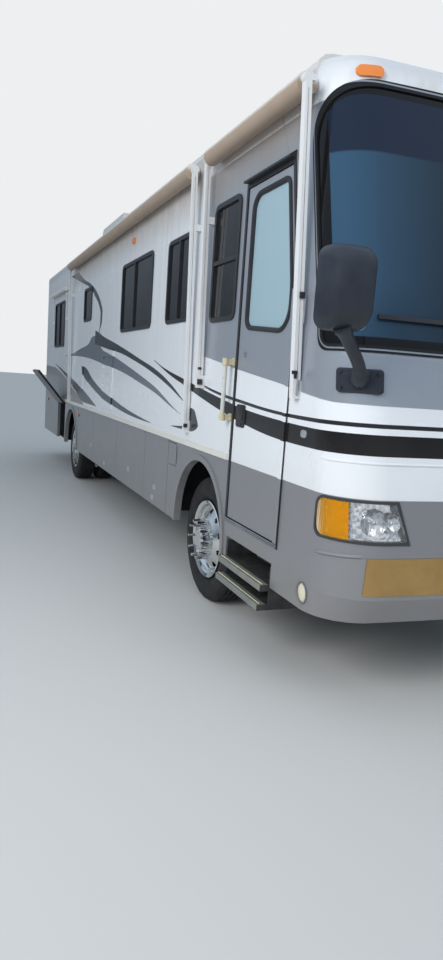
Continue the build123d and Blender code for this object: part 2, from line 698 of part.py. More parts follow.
# Wheels and axles
TYRE_R = 485.0
TYRE_W = 255.0
FLANGE_R = 304.0           # outside of the rim's flange
BEAD_R = 286.0
BEAD_SET = 38.0            # a flange's inner face from the tyre's side
TYRE_OUT = 1200.0          # outer sidewall from the centre line
DUAL_PITCH = 325.0
FRONT_X = TYRE_OUT - TYRE_W / 2
HUB_Z = TYRE_R
AIR_BAG_X = 430.0
AIR_BAG_R = 90.0
AXLE_PAD = 100.0           # top of an axle's pads above its centre
KING_X = 960.0
LUGS = 10
LUG_CAP = 102.0             # length of the bright caps over the wheel nuts
STEER = 40.0


def tyre(x):
    """Tyre with a flat tread, round shoulders and bulged sidewalls, on an axis across."""
    w = TYRE_W / 2
    half = [(w - BEAD_SET - FIT, BEAD_R + FIT), (w - BEAD_SET - FIT, FLANGE_R + 4), (w - 8, FLANGE_R + 34),
            (w, FLANGE_R + 92), (w - 5, TYRE_R - 48), (w - 26, TYRE_R - 8), (w - 60, TYRE_R)]
    loop = half + [(-x, radius) for x, radius in reversed(half)]
    section = Plane.XZ * make_face(Polyline(*loop, close=True))
    ring = revolve(section, Axis.X, 360)
    return Pos(x, 0, 0) * ring


def spun(profile):
    """A closed outline of distances along the axle and radii, turned about the axle."""
    return revolve(Plane.XZ * make_face(Polyline(*profile, close=True)), Axis.X, 360)


def front_rim():
    """Steel wheel under a bright cover: lip, dished face with holes, hub and lug caps.

    Distances are measured outwards from the middle plane of the tyre.
    """
    w = TYRE_W / 2
    rim = spun([
        (-w + 20, BEAD_R - 12), (-w + 20, FLANGE_R), (-w + BEAD_SET, FLANGE_R), (-w + BEAD_SET, BEAD_R),
        (w - BEAD_SET, BEAD_R), (w - BEAD_SET, FLANGE_R), (w - 9, FLANGE_R), (w - 4, FLANGE_R - 6),
        (w - 16, BEAD_R - 14), (w - 42, 264), (w - 56, 246), (w - 22, 186), (w - 6, 160), (w - 4, 92),
        (w + 50, 86), (w + 62, 70), (w + 66, 30), (w + 66, 0), (w - 70, 0), (w - 70, 250), (w - 80, 270)])
    for number in range(LUGS):
        turn = number * 360 / LUGS
        rim -= Rot(turn, 0, 0) * Pos(w - 60, 0, 216) * Rot(0, 90, 0) * Cylinder(23, 160)
        rim += Rot(turn + 18, 0, 0) * Pos(w - 12, 0, 143) * Rot(0, 90, 0) * Cone(
            18, 11, LUG_CAP, align=(Align.CENTER, Align.CENTER, Align.MIN))
    return rim


def rear_rim():
    """Deep dished outer wheel of the pair, joined to the inner wheel's rim behind it."""
    w = TYRE_W / 2
    outer = spun([
        (-w + 20, BEAD_R - 12), (-w + 20, FLANGE_R), (-w + BEAD_SET, FLANGE_R), (-w + BEAD_SET, BEAD_R),
        (w - BEAD_SET, BEAD_R), (w - BEAD_SET, FLANGE_R), (w - 9, FLANGE_R), (w - 4, FLANGE_R - 6),
        (w - 14, BEAD_R - 14), (-w + 30, 252), (-w - 20, 236), (-w - 20, 110), (w - 60, 96), (w - 40, 80),
        (w - 36, 0), (-w - 38, 0), (-w - 38, 252), (-w - 10, 270)])
    inner = spun([
        (-w + 20, BEAD_R - 12), (-w + 20, FLANGE_R), (-w + BEAD_SET, FLANGE_R), (-w + BEAD_SET, BEAD_R),
        (w - BEAD_SET, BEAD_R), (w - BEAD_SET, FLANGE_R), (w - 20, FLANGE_R), (w - 20, BEAD_R - 12)])
    link = spun([
        (-DUAL_PITCH + w - 32, BEAD_R - 14), (-DUAL_PITCH + w - 20, BEAD_R - 10), (-w - 36, 250),
        (-w - 36, 200), (-w - 50, 200), (-w - 50, 240)])
    return outer + link + Pos(-DUAL_PITCH, 0, 0) * inner


def place_wheel(shape, x, axle):
    return Pos(x, along(axle), HUB_Z) * shape


def outward(shape, side):
    """Turn a wheel made with its face to +X so that it faces its own side."""
    return shape if side > 0 else mirror(shape, about=Plane.YZ)


PIN_EYE_R = 34.0           # eye of the axle round the king pin
PIN_EYE_H = 72.0           # half height of the yoke's mouth
YOKE_WEB = 44.0            # inner face of the yoke's web from the king pin


def knuckle():
    """Driver's side knuckle: king pin yoke, spindle and steering arm."""
    yoke = slab(KING_X - 36, KING_X + YOKE_WEB + 22, -44, 44, -128, 128) - slab(
        KING_X - 60, KING_X + YOKE_WEB, -60, 60, -PIN_EYE_H, PIN_EYE_H)
    spindle_end = FRONT_X + TYRE_W / 2 - 70 - FIT
    spindle = Pos(KING_X + YOKE_WEB + 2, 0, 0) * Rot(0, 90, 0) * Cylinder(
        42, spindle_end - KING_X - YOKE_WEB - 2, align=(Align.CENTER, Align.CENTER, Align.MIN))
    arm = slab(KING_X - 70, KING_X + 10, 30, 205, -118, -92)
    return Pos(0, along(0), HUB_Z) * (yoke + spindle + arm)


def front_axle():
    """Drop beam between the king pins, with an eye at each end and pads for the air bags."""
    beam = slab(-KING_X + 10, KING_X - 10, along(-24), along(24), HUB_Z - 60, HUB_Z + 20)
    for side in (-1, 1):
        beam += Pos(side * KING_X, along(0), HUB_Z) * Cylinder(PIN_EYE_R, 2 * (PIN_EYE_H - FIT))
        beam += slab(side * AIR_BAG_X - 50, side * AIR_BAG_X + 50, along(-60), along(60), HUB_Z + 10,
                     HUB_Z + AXLE_PAD)
    return beam


# Ladder frame
FRAME_LOW = 930.0
FRAME_X0 = 390.0
FRAME_X1 = 470.0
FRAME_WEB = 10.0
FRAME_FRONT = -1700.0
FRAME_REAR = 9300.0
CROSS_STATIONS = [-1500.0, -300.0, 1000.0, 2600.0, 4200.0, 5500.0, 6800.0, 7900.0]


def chassis_frame():
    y0 = along(FRAME_FRONT)
    y1 = along(FRAME_REAR)
    rail = slab(FRAME_X0, FRAME_X1, y0, y1, FRAME_LOW, FLOOR_Z)
    rail -= slab(FRAME_X0 - 10, FRAME_X1 - FRAME_WEB, y0 - 10, y1 + 10, FRAME_LOW + FRAME_WEB,
                 FLOOR_Z - FRAME_WEB)
    end = FRAME_X1 - FRAME_WEB - FIT
    cross = [slab(-end, end, along(station - 40), along(station + 40), FRAME_LOW + 40, FRAME_LOW + 140)
             for station in CROSS_STATIONS]
    return both_sides(rail) + cross


def air_bags(axle):
    """Air springs between an axle's pads and the rails."""
    low = HUB_Z + AXLE_PAD + FIT
    bag = Pos(AIR_BAG_X, along(axle), low) * Cylinder(
        AIR_BAG_R, FRAME_LOW - FIT - low, align=(Align.CENTER, Align.CENTER, Align.MIN))
    return both_sides(bag)


def rear_axle():
    tube = Pos(-560, along(WHEELBASE), HUB_Z) * Rot(0, 90, 0) * Cylinder(
        70, 1120, align=(Align.CENTER, Align.CENTER, Align.MIN))
    case = Pos(0, along(WHEELBASE), HUB_Z) * Sphere(185)
    nose = Pos(0, along(WHEELBASE + 80), HUB_Z) * Rot(-90, 0, 0) * Cylinder(
        85, 260, align=(Align.CENTER, Align.CENTER, Align.MIN))
    axle = tube + case + nose
    hub_end = FRONT_X - TYRE_W / 2 - 38 - FIT
    for side in (-1, 1):
        start = 540 if side > 0 else -hub_end
        axle += Pos(start, along(WHEELBASE), HUB_Z) * Rot(0, 90, 0) * Cylinder(
            56, hub_end - 540, align=(Align.CENTER, Align.CENTER, Align.MIN))
        axle += slab(side * AIR_BAG_X - 50, side * AIR_BAG_X + 50, along(WHEELBASE - 80),
                     along(WHEELBASE + 80), HUB_Z + 20, HUB_Z + AXLE_PAD)
    return axle


# Engine, fuel tank, tow socket
ENGINE_Y0 = 8060.0
ENGINE_Y1 = 9180.0


def engine():
    block = slab(-330, 330, along(ENGINE_Y0), along(ENGINE_Y1), 560, 1120)
    sump = slab(-200, 200, along(ENGINE_Y0 + 150), along(ENGINE_Y1 - 250), 470, 560)
    seat_z = FRAME_LOW + FRAME_WEB
    feet = slab(-FRAME_X1 + 30, FRAME_X1 - 30, along(ENGINE_Y0 + 500), along(ENGINE_Y0 + 600), seat_z,
                seat_z + 80)
    return block + sump + feet


def fuel_tank():
    y0 = along(CROSS_STATIONS[2] + 40)
    y1 = along(CROSS_STATIONS[3] - 40)
    return slab(-370, 370, y0, y1, 560, 900) + slab(-370, 370, y0, y0 + 60, 900, FRAME_LOW + 40)


SOCKET_OUT = 31.75
SOCKET_IN = 25.8
SOCKET_LEN = 260.0
SOCKET_Z = 560.0
PIN_R = 8.1
TOW_NOTCH = 50.0           # half width and height of the notch round the socket
PIN_SET = 63.0             # pin hole's distance from the socket's mouth


def tow_hitch():
    """Square receiver on a cross bar under the tail, with the hole for its pin."""
    y1 = along(REAR_REACH)
    y0 = y1 - SOCKET_LEN
    tube = slab(-SOCKET_OUT, SOCKET_OUT, y0, y1, SOCKET_Z - SOCKET_OUT, SOCKET_Z + SOCKET_OUT)
    bar = slab(-FRAME_X1, FRAME_X1, y0 - 70, y0, SOCKET_Z - 35, SOCKET_Z + 35)
    for side in (-1, 1):
        x = side * (FRAME_X0 + FRAME_X1) / 2
        bar += slab(x - 30, x + 30, y0 - 70, y0, SOCKET_Z, FRAME_LOW)
    hitch = tube + bar
    hitch -= slab(-SOCKET_IN, SOCKET_IN, y0, y1 + 10, SOCKET_Z - SOCKET_IN, SOCKET_Z + SOCKET_IN)
    hitch -= Pos(0, y1 - PIN_SET, SOCKET_Z) * Rot(0, 90, 0) * Cylinder(PIN_R, 200)
    return hitch


# Mirrors on the front corners
MIRROR_X = 1415.0
MIRROR_Z = 2168.0
MIRROR_W = 296.0
MIRROR_H = 372.0
MIRROR_D = 160.0
MIRROR_ARM_R = 34.0
PLINTH_Z = 1770.0
PLINTH_W = 230.0
PLINTH_H = 124.0
PLINTH_TURN = 55.0         # degrees round the corner from the flank


def mirror_shell():
    sketch = Plane.XZ * RectangleRounded(MIRROR_W, MIRROR_H, 60)
    back = extrude(sketch, MIRROR_D, taper=8)
    back = fillet(back.faces().sort_by(Axis.Y)[0].edges(), 28)
    shell = Pos(-MIRROR_X, along(-FRONT_REACH) + MIRROR_D, MIRROR_Z) * back
    return shell


def mirror_glass():
    y = along(-FRONT_REACH) + MIRROR_D
    face = Plane.XZ.offset(-y - 5) * (Pos(-MIRROR_X, MIRROR_Z) * RectangleRounded(
        MIRROR_W - 30, MIRROR_H - 30, 32))
    return extrude(face, 5)


def mirror_arm():
    """Plinth on the corner and a forked arm up to the shell."""
    corner_x = HALF - CORNER_R
    nose_y = NOSE_CREASE[1] + (NOSE_SILL[1] - NOSE_CREASE[1]) * (PLINTH_Z - NOSE_CREASE[0]) / (
        NOSE_SILL[0] - NOSE_CREASE[0])
    bow_y = nose_y + NOSE_BOW_R
    corner_y = bow_y - math.sqrt((NOSE_BOW_R - CORNER_R) ** 2 - corner_x ** 2)
    turn = math.radians(PLINTH_TURN)
    seat = (-corner_x - CORNER_R * math.cos(turn), along(corner_y) - CORNER_R * math.sin(turn))
    plate = extrude(Plane.XZ * RectangleRounded(PLINTH_W, PLINTH_H, 30), 30)
    plinth = Pos(seat[0], seat[1], PLINTH_Z) * Rot(0, 0, math.degrees(turn) - 90) * Pos(0, 8, 0) * plate
    shell_foot = MIRROR_Z - MIRROR_H / 2
    y = along(-FRONT_REACH) + MIRROR_D * 0.55
    arm = plinth
    out = (math.cos(turn), math.sin(turn))
    start = (seat[0] - out[0] * 15, seat[1] - out[1] * 15, PLINTH_Z + 12)
    elbow = (seat[0] - out[0] * 105, seat[1] - out[1] * 105, PLINTH_Z + 85)
    top = (-MIRROR_X + 10, y, shell_foot + 20)
    arm += rod(start, elbow, MIRROR_ARM_R)
    arm += Pos(*elbow) * Sphere(MIRROR_ARM_R)
    arm += rod(elbow, top, MIRROR_ARM_R)
    return arm


# Awnings: rolled up at the eaves, each end on an arm that leans out from its foot on the wall
ROLL_X = 1353.0
ROLL_Z = 3290.0
ROLL_R = 60.0
ARM_W = 44.0
ARM_T = 36.0
ARM_FOOT_T = 44.0
ARM_HEAD_R = 27.0          # casting at the top of the arm, which holds the roll's shaft
SHAFT_R = 16.0
ROLL_END = 60.0            # the roll starts this far from the arm's middle
CHANNEL_IN = 17.0          # groove between the arm's outer and inner channel
CHANNEL_GAP = 5.0
CHANNEL_DEEP = 8.0
TIE_Z = 2870.0             # clip that holds the arm to the wall
FOOT_H = 95.0
# the middles of each awning's front and rear arm, from the front axle
AWNINGS = [(-1522.0, 32.0), (322.0, 6257.0)]
# arms: middle, side that the roll is on, foot height, outer face from the centre line at the foot
# and at the roll's height
AWNING_ARMS = [
    (-1522.0, 1, 1655.0, 1330.0, 1402.0),
    (32.0, -1, 1655.0, 1342.0, 1374.0),
    (322.0, 1, 1290.0, 1330.0, 1375.0),
    (6257.0, -1, 1225.0, 1330.0, 1368.0),
]
# the small one over the rear window: its roll, and the slats that hold it
SHADE_FRONT = 6780.0
SHADE_REAR = 8560.0
SHADE_Z = 3020.0
SHADE_R = 34.0
SHADE_FOOT = 2530.0
SLAT_W = 26.0
SLAT_T = 9.0


def awning_roll(front, rear):
    start = front + ROLL_END
    return Pos(-ROLL_X, along(start), ROLL_Z) * Rot(-90, 0, 0) * Cylinder(
        ROLL_R, rear - ROLL_END - start, align=(Align.CENTER, Align.CENTER, Align.MIN))


def awning_arm(station, side, foot, out_low, out_top):
    """Arm of two channels that leans out from its foot on the wall to the shaft of the roll."""
    y1 = along(station + ARM_W / 2)
    wall = -HALF
    leg = make_face(Polyline(
        (-out_low, foot), (-out_top, ROLL_Z), (-out_top + ARM_T, ROLL_Z), (-out_low + ARM_FOOT_T, foot),
        close=True))
    groove = make_face(Polyline(
        (-out_low + CHANNEL_IN, foot + FOOT_H), (-out_top + CHANNEL_IN, ROLL_Z - 2 * ARM_HEAD_R),
        (-out_top + CHANNEL_IN + CHANNEL_GAP, ROLL_Z - 2 * ARM_HEAD_R),
        (-out_low + CHANNEL_IN + CHANNEL_GAP, foot + FOOT_H), close=True))
    bracket = make_face(Polyline(
        (wall, foot), (wall, foot + FOOT_H), (-out_low + 5, foot + FOOT_H), (-out_low + 2, foot),
        close=True))
    top = -out_top + ARM_T / 2
    head = Pos(top, ROLL_Z) * Circle(ARM_HEAD_R)
    neck = Pos((top - ROLL_X) / 2, ROLL_Z) * Rectangle(abs(top + ROLL_X) + 2, 2 * SHAFT_R)
    boss = Pos(-ROLL_X, ROLL_Z) * Circle(SHAFT_R)
    arm = extrude(Plane.XZ.offset(-y1) * (leg + bracket + head + neck + boss), ARM_W)
    arm -= extrude(Plane.XZ.offset(-y1) * groove, CHANNEL_DEEP)
    arm -= extrude(Plane.XZ.offset(-y1 + ARM_W - CHANNEL_DEEP) * groove, CHANNEL_DEEP)
    reach = ROLL_END - ARM_W / 2 - FIT
    shaft = Cylinder(SHAFT_R, reach + 1, align=(Align.CENTER, Align.CENTER, Align.MIN))
    arm += Pos(-ROLL_X, along(station + side * (ARM_W / 2 - 1)), ROLL_Z) * Rot(-90 * side, 0, 0) * shaft
    if station > CAP_Y:
        share = (TIE_Z - foot) / (ROLL_Z - foot)
        arm += slab(-out_low - share * (out_top - out_low) + CHANNEL_IN + CHANNEL_GAP, wall, y1 - ARM_W, y1,
                    TIE_Z - 25, TIE_Z + 25)
        arm -= slab(wall, 0, y1 - 2 * ARM_W, y1 + ARM_W, foot - 10, ROOF_Z)
    return arm


def shade_roll():
    """Roll of the rear window's awning, let into a cradle strip on the wall."""
    length = SHADE_REAR - SHADE_FRONT
    roll = Pos(-HALF - SHADE_R - 14, along(SHADE_FRONT), SHADE_Z) * Rot(-90, 0, 0) * Cylinder(
        SHADE_R, length, align=(Align.CENTER, Align.CENTER, Align.MIN))
    return roll + slab(-HALF - SHADE_R, -HALF, along(SHADE_FRONT), along(SHADE_REAR), SHADE_Z - 12,
                       SHADE_Z + 12)


def shade_slat(front):
    """Flat slat that stands on the wall beside the window and carries one end of its roll."""
    y0 = along(front)
    slat = slab(-HALF - SLAT_T - 12, -HALF - 12, y0, y0 + SLAT_W, SHADE_FOOT, SHADE_Z - SHADE_R - 8)
    for z in (SHADE_FOOT, SHADE_Z - SHADE_R - 48):
        slat += slab(-HALF - 12, -HALF, y0, y0 + SLAT_W, z, z + 40)
    return slat


# Small lamps
MARKER_L = 130.0
MARKER_H = 60.0
MARKER_Z = 3336.0
MARKER_X = 1095.0          # outer ones of the five over the windscreen
SIDE_MARKER_Y = 2450.0
SIDE_MARKER_Z = 3106.0


def side_lamp(station, height, long, tall, proud=16.0):
    return side_panel(along(station) - long / 2, along(station) + long / 2, height - tall / 2,
                      height + tall / 2, -HALF - proud, -HALF, min(long, tall) * 0.3)


def rear_lamp(x, height, long, tall):
    y = along(TAIL_Y)
    sketch = Plane.XZ.offset(-y - 14) * (Pos(x, height) * RectangleRounded(long, tall, tall * 0.3))
    return extrude(sketch, 14)


def brow_lamp(x, outer, raised):
    """Clearance lamp that follows the cap over the windscreen."""
    face = Plane.XZ.offset(-along(-1500)) * (Pos(x, MARKER_Z) * RectangleRounded(MARKER_L, MARKER_H, 24))
    return (raised - outer) & extrude(face, 500)


# Roof units: x, y from the front axle, length, width, height
ROOF_UNITS = [(0.0, 1500.0, 980.0, 720.0, 200.0), (0.0, 5900.0, 980.0, 720.0, 200.0)]
VENT_COVERS = [(-1060.0, 4200.0, 1250.0, 230.0, 95.0), (-250.0, 7700.0, 420.0, 420.0, 130.0),
               (250.0, 3300.0, 420.0, 420.0, 130.0)]


def roof_unit(x, station, long, wide, tall, base):
    sketch = Pos(x, along(station)) * RectangleRounded(wide, long, 90 if wide > 300 else 40)
    return extrude(Plane.XY.offset(base) * sketch, tall + ROOF_Z - base, taper=9)


# Ladder on the tail
LADDER_X = (-1000.0, -660.0)
LADDER_R = 13.0
LADDER_OFF = 78.0
LADDER_LOW = 900.0
LADDER_TOP = 3620.0
RUNGS = 8


def ladder():
    """Two stiles that hook over the roof, with rungs let into them."""
    y = along(TAIL_Y) + LADDER_OFF
    bars = []
    for x in LADDER_X:
        bars.append(rod((x, y, LADDER_LOW), (x, y, LADDER_TOP), LADDER_R))
        for z in (LADDER_LOW + 60, LADDER_LOW + 1000, LADDER_TOP - 520):
            bars.append(rod((x, along(TAIL_Y), z), (x, y, z), 9))
        bars.append(rod((x, y + 4, LADDER_TOP - 16), (x, y - 424, LADDER_TOP - 16), LADDER_R - 1))
        bars.append(rod((x, y - 410, ROOF_Z - 60), (x, y - 410, LADDER_TOP - 16), LADDER_R - 2))
    pitch = (LADDER_TOP - 250 - LADDER_LOW) / RUNGS
    for number in range(RUNGS):
        z = LADDER_LOW + 110 + number * pitch
        bars.append(rod((LADDER_X[0] - 3, y, z), (LADDER_X[1] + 3, y, z), 11))
    return bars[0].fuse(*bars[1:]) - tail_blank(-FIT)


# Cab
def dashboard():
    deck = FLOOR_Z + FLOOR_T
    points = [(along(-1930), 1790), (along(-1620), 1800), (along(-1500), 1700), (along(-1500), 1560),
              (along(-1640), 1460), (along(-1700), deck), (along(-1930), deck)]
    return profile_along_x(points, -960, 960) + steering_wheel()


# seats: x, y from the front axle of the cushion's middle
SEATS = [(620.0, -1060.0), (-360.0, -820.0)]
SEAT_W = 520.0


def seat(x, station):
    deck = FLOOR_Z + FLOOR_T
    y = along(station)
    base = slab(x - 170, x + 170, y - 190, y + 190, deck, deck + 260)
    cushion = slab(x - SEAT_W / 2, x + SEAT_W / 2, y - 260, y + 260, deck + 260, deck + 420)
    back = profile_along_x([(y + 130, deck + 420), (y + 260, deck + 420), (y + 370, deck + 1150),
                            (y + 250, deck + 1150)], x - SEAT_W / 2 + 20, x + SEAT_W / 2 - 20)
    return base + cushion + back


def steering_wheel():
    centre = (620.0, along(-1480), 1935.0)
    ring = Pos(*centre) * Rot(-35, 0, 0) * (Torus(215, 15) + Cylinder(55, 36) + Box(420, 34, 14))
    column = Pos(*centre) * Rot(-35, 0, 0) * Cylinder(32, 300, align=(Align.CENTER, Align.CENTER, Align.MAX))
    return ring + column


WIPER_Z = 2095.0           # blades park level, well up the screen
WIPER_IN = 330.0
WIPER_OUT = 1085.0
WIPER_PIVOT = 300.0        # pivot on the cap below the screen, from the centre line


def wiper(side, blade_skin, arm_skin):
    """Wiper parked across the screen: blade and arm follow the glass in shells that stand off it."""
    blade = blade_skin & slab(side * WIPER_IN, side * WIPER_OUT, along(-2600), along(-1500),
                              WIPER_Z - 11, WIPER_Z + 11)
    pivot_z = SCREEN_SILL - 45
    hold = (WIPER_IN + WIPER_OUT) / 2
    outline = make_face(Polyline(
        (side * (WIPER_PIVOT - 14), pivot_z), (side * (WIPER_PIVOT + 14), pivot_z),
        (side * (hold + 12), WIPER_Z + 8), (side * (hold - 30), WIPER_Z + 8), close=True))
    arm = arm_skin & extrude(Plane.XZ.offset(-along(-1500)) * outline, 1100)
    pivot = Pos(side * WIPER_PIVOT, along(-2060), pivot_z) * Rot(-90, 0, 0) * Cylinder(
        19, 90, align=(Align.CENTER, Align.CENTER, Align.MIN))
    return blade + arm + pivot


PARTS = {}


def add(name, *shapes):
    """Keep the solids of one piece under its name."""
    solids = []
    for shape in shapes:
        solids.extend(shape.solids())
    PARTS[name] = solids[0] if len(solids) == 1 else Compound(children=solids)


outer_nose = nose_blank(0)
inner_nose = nose_blank(CAP_T)
proud_nose = nose_blank(-SEAL_PROUD)
add("front_cap", front_cap(outer_nose, inner_nose))
add("rear_cap", rear_cap())
add("roof", roof())
add("floor", floor())
add("side_wall_kerb", side_wall(KERB_WINDOWS, True))
add("side_wall_driver", mirror(side_wall(DRIVER_WINDOWS, False), about=Plane.YZ))
add("skirts", *skirt(True), *[mirror(piece, about=Plane.YZ) for piece in skirt(False)])
glass_blank = nose_blank(GLASS_SINK) - nose_blank(GLASS_SINK + GLASS_T)
add("windscreen", glass_blank & screen_prism(SEAL_W))
seal_blank = proud_nose - nose_blank(GLASS_SINK + GLASS_T + 10)
screen_seal = seal_blank & (screen_prism(0) - screen_prism(SEAL_W))
add("window_and_door_frames",
    door_frame(),
    *[window_frame(*row) for row in KERB_WINDOWS],
    *[mirror(window_frame(*row), about=Plane.YZ) for row in DRIVER_WINDOWS])
add("window_glass",
    *[window_pane(*row[:4]) for row in KERB_WINDOWS],
    *[mirror(window_pane(*row[:4]), about=Plane.YZ) for row in DRIVER_WINDOWS])
rail = slab(-HALF - RAIL_T, -HALF, along(DOOR_REAR + 28), along(RAIL_END), RAIL_Z, RAIL_Z + RAIL_H)
hinge_plate = slab(-HALF - HINGE_T, -HALF, along(TAIL_BAY[0] + GAP), along(TAIL_BAY[1] - GAP), RAIL_Z,
                   RAIL_Z + RAIL_H)
add("rub_rails", *both_sides(rail), *both_sides(hinge_plate))


for number, (front, rear) in enumerate(BAYS, start=1):
    door = bay_door(front, rear)
    add(f"bay_door_kerb_{number}", door)
    add(f"bay_door_driver_{number}", mirror(door, about=Plane.YZ))
swing = Pos(-BAY_PIN_X, 0, BAY_PIN_Z) * Rot(0, TAIL_BAY_SWING, 0) * Pos(BAY_PIN_X, 0, -BAY_PIN_Z)
tail_door = swing * bay_door(*TAIL_BAY)
add("bay_door_kerb_5", tail_door)
add("bay_door_driver_5", mirror(tail_door, about=Plane.YZ))
add("bay_boxes", *both_sides(bay_box(BAYS)), *both_sides(bay_box([TAIL_BAY])))
add("side_vents", fridge_vent(), *both_sides(wall_plate(*SERVICE_HATCH)))
add("fuel_door", fuel_door())
add("entry_door", entry_door())
add("entry_door_glass", entry_door_glass())
add("grab_handle", grab_handle())
add("entry_step", entry_step())

lamp_body = nose_blank(-2) - inner_nose
docks = both_sides(flat_disc(-HALF - 6, -HALF + CAP_T, along(DOCK_Y), DOCK_Z, DOCK_R - FIT))
add("front_lamps", *both_sides(lamp_body & lamp_prism(LAMP_SEAL)), *docks)
lamp_seal = (proud_nose - inner_nose) & (lamp_prism(0) - lamp_prism(LAMP_SEAL))
add("front_seals", screen_seal, *both_sides(lamp_seal))
trim = (nose_blank(-TRIM_T) - outer_nose) & slab(-TRIM_HALF, TRIM_HALF, along(-2600), along(-1900),
                                                 TRIM_LOW, TRIM_TOP)
add("front_trim", trim)
brow_xs = (-MARKER_X, -180.0, 0.0, 180.0, MARKER_X)
raised_nose = nose_blank(-18)
amber = [brow_lamp(x, outer_nose, raised_nose) for x in brow_xs]
add("amber_lamps", *amber, *both_sides(side_lamp(SIDE_MARKER_Y, SIDE_MARKER_Z, 95, 60)))
red = [tail_lamp(x) for x in (-TAIL_LAMP_X, TAIL_LAMP_X)]
red += [rear_lamp(x, EAVES_Z - 100, 110, 40) for x in (-1035.0, -180.0, 0.0, 180.0, 1035.0)]
add("red_lamps", *red, *both_sides(side_lamp(8900, 1120, 95, 50)))
add("mirror_glass", *both_sides(mirror_glass()))
add("mirrors", *both_sides((mirror_arm() - outer_nose) + mirror_shell()))
blade_skin = raised_nose - nose_blank(-3)
arm_skin = nose_blank(-26) - nose_blank(-12)
add("wipers", *[wiper(side, blade_skin, arm_skin) - outer_nose for side in (-1, 1)])
add("awning_rolls", *[awning_roll(*row) for row in AWNINGS], shade_roll())
arms = [awning_arm(*row) - outer_nose for row in AWNING_ARMS]
arms += [shade_slat(SHADE_FRONT + 120), shade_slat(SHADE_REAR - 120 - SLAT_W)]
add("awning_arms", *arms)
add("roof_units",
    *[roof_unit(*row, EAVES_Z + EDGE_R) - PARTS["roof"] for row in ROOF_UNITS + VENT_COVERS])
add("ladder", ladder())
add("engine_door", engine_door())
add("chassis_frame", *chassis_frame())
add("front_axle", front_axle(), *air_bags(0.0))
add("rear_axle", rear_axle(), *air_bags(WHEELBASE))
add("knuckle_driver", knuckle())
add("knuckle_kerb", mirror(knuckle(), about=Plane.YZ))
for side, name in ((1, "driver"), (-1, "kerb")):
    add(f"front_tyre_{name}", place_wheel(tyre(side * FRONT_X), 0, 0))
    add(f"front_rim_{name}", place_wheel(outward(front_rim(), side), side * FRONT_X, 0))
    add(f"rear_tyres_{name}", place_wheel(tyre(side * FRONT_X), 0, WHEELBASE),
        place_wheel(tyre(side * (FRONT_X - DUAL_PITCH)), 0, WHEELBASE))
    add(f"rear_rims_{name}", place_wheel(outward(rear_rim(), side), side * FRONT_X, WHEELBASE))
add("engine", engine())
add("fuel_tank", fuel_tank())
add("tow_hitch", tow_hitch())
add("dashboard", dashboard())
add("seats", *[seat(*row) for row in SEATS])

os.makedirs("parts", exist_ok=True)
for name, shape in PARTS.items():
    export_step(shape, f"parts/{name}.step")
print(len(PARTS), "nodes")
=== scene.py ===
import bpy
import math
import numpy as np
from mathutils import Matrix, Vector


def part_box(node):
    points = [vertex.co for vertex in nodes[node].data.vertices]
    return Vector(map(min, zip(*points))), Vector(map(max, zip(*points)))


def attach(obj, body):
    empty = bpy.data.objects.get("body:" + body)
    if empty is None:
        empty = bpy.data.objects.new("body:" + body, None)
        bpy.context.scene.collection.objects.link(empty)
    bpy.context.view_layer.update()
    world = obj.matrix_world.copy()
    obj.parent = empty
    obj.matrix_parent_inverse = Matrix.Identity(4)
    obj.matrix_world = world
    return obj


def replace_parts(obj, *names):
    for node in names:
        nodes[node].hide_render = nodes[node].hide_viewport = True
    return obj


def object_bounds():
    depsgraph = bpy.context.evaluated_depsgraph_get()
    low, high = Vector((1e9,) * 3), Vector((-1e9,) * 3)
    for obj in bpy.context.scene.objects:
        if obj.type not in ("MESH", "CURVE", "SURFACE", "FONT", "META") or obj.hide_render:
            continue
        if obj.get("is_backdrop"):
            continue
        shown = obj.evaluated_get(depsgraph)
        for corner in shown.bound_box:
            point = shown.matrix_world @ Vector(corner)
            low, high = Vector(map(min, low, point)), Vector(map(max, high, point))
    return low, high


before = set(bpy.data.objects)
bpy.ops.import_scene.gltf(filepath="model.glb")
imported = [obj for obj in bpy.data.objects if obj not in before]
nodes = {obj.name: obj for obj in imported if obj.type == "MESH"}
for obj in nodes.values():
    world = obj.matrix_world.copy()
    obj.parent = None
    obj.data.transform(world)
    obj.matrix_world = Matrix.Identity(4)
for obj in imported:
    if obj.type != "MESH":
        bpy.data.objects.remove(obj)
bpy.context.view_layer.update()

# Camera: stands off the front kerb-side corner at head height and looks back along the flank,
# a little down and rolled a few degrees, as a hand-held telephone is.
EYE = (-3.072, -8.559, 1.732)
YAW, PITCH, ROLL = (math.radians(v) for v in (21.879, -8.352, 3.953))
PICTURE_HEIGHT, FOCAL_PIXELS, SENSOR = 960.0, 686.0, 36.0


def stand(thing, right, up, ahead, place):
    """Puts a camera or a lamp at a place, looking ahead, with its own right and up directions."""
    thing.matrix_world = Matrix([[right[i], up[i], -ahead[i], place[i]] for i in range(3)] + [[0, 0, 0, 1]])


ahead = np.array([math.sin(YAW) * math.cos(PITCH), math.cos(YAW) * math.cos(PITCH), math.sin(PITCH)])
level = np.array([math.cos(YAW), -math.sin(YAW), 0.0])
upright = np.cross(level, ahead)
camera = bpy.data.objects.new("camera", bpy.data.cameras.new("camera"))
bpy.context.scene.collection.objects.link(camera)
stand(camera, math.cos(ROLL) * level + math.sin(ROLL) * upright,
      math.cos(ROLL) * upright - math.sin(ROLL) * level, ahead, EYE)
camera.data.sensor_width = SENSOR
camera.data.lens = FOCAL_PIXELS / PICTURE_HEIGHT * SENSOR
camera.data.clip_start = 0.05
bpy.context.scene.camera = camera

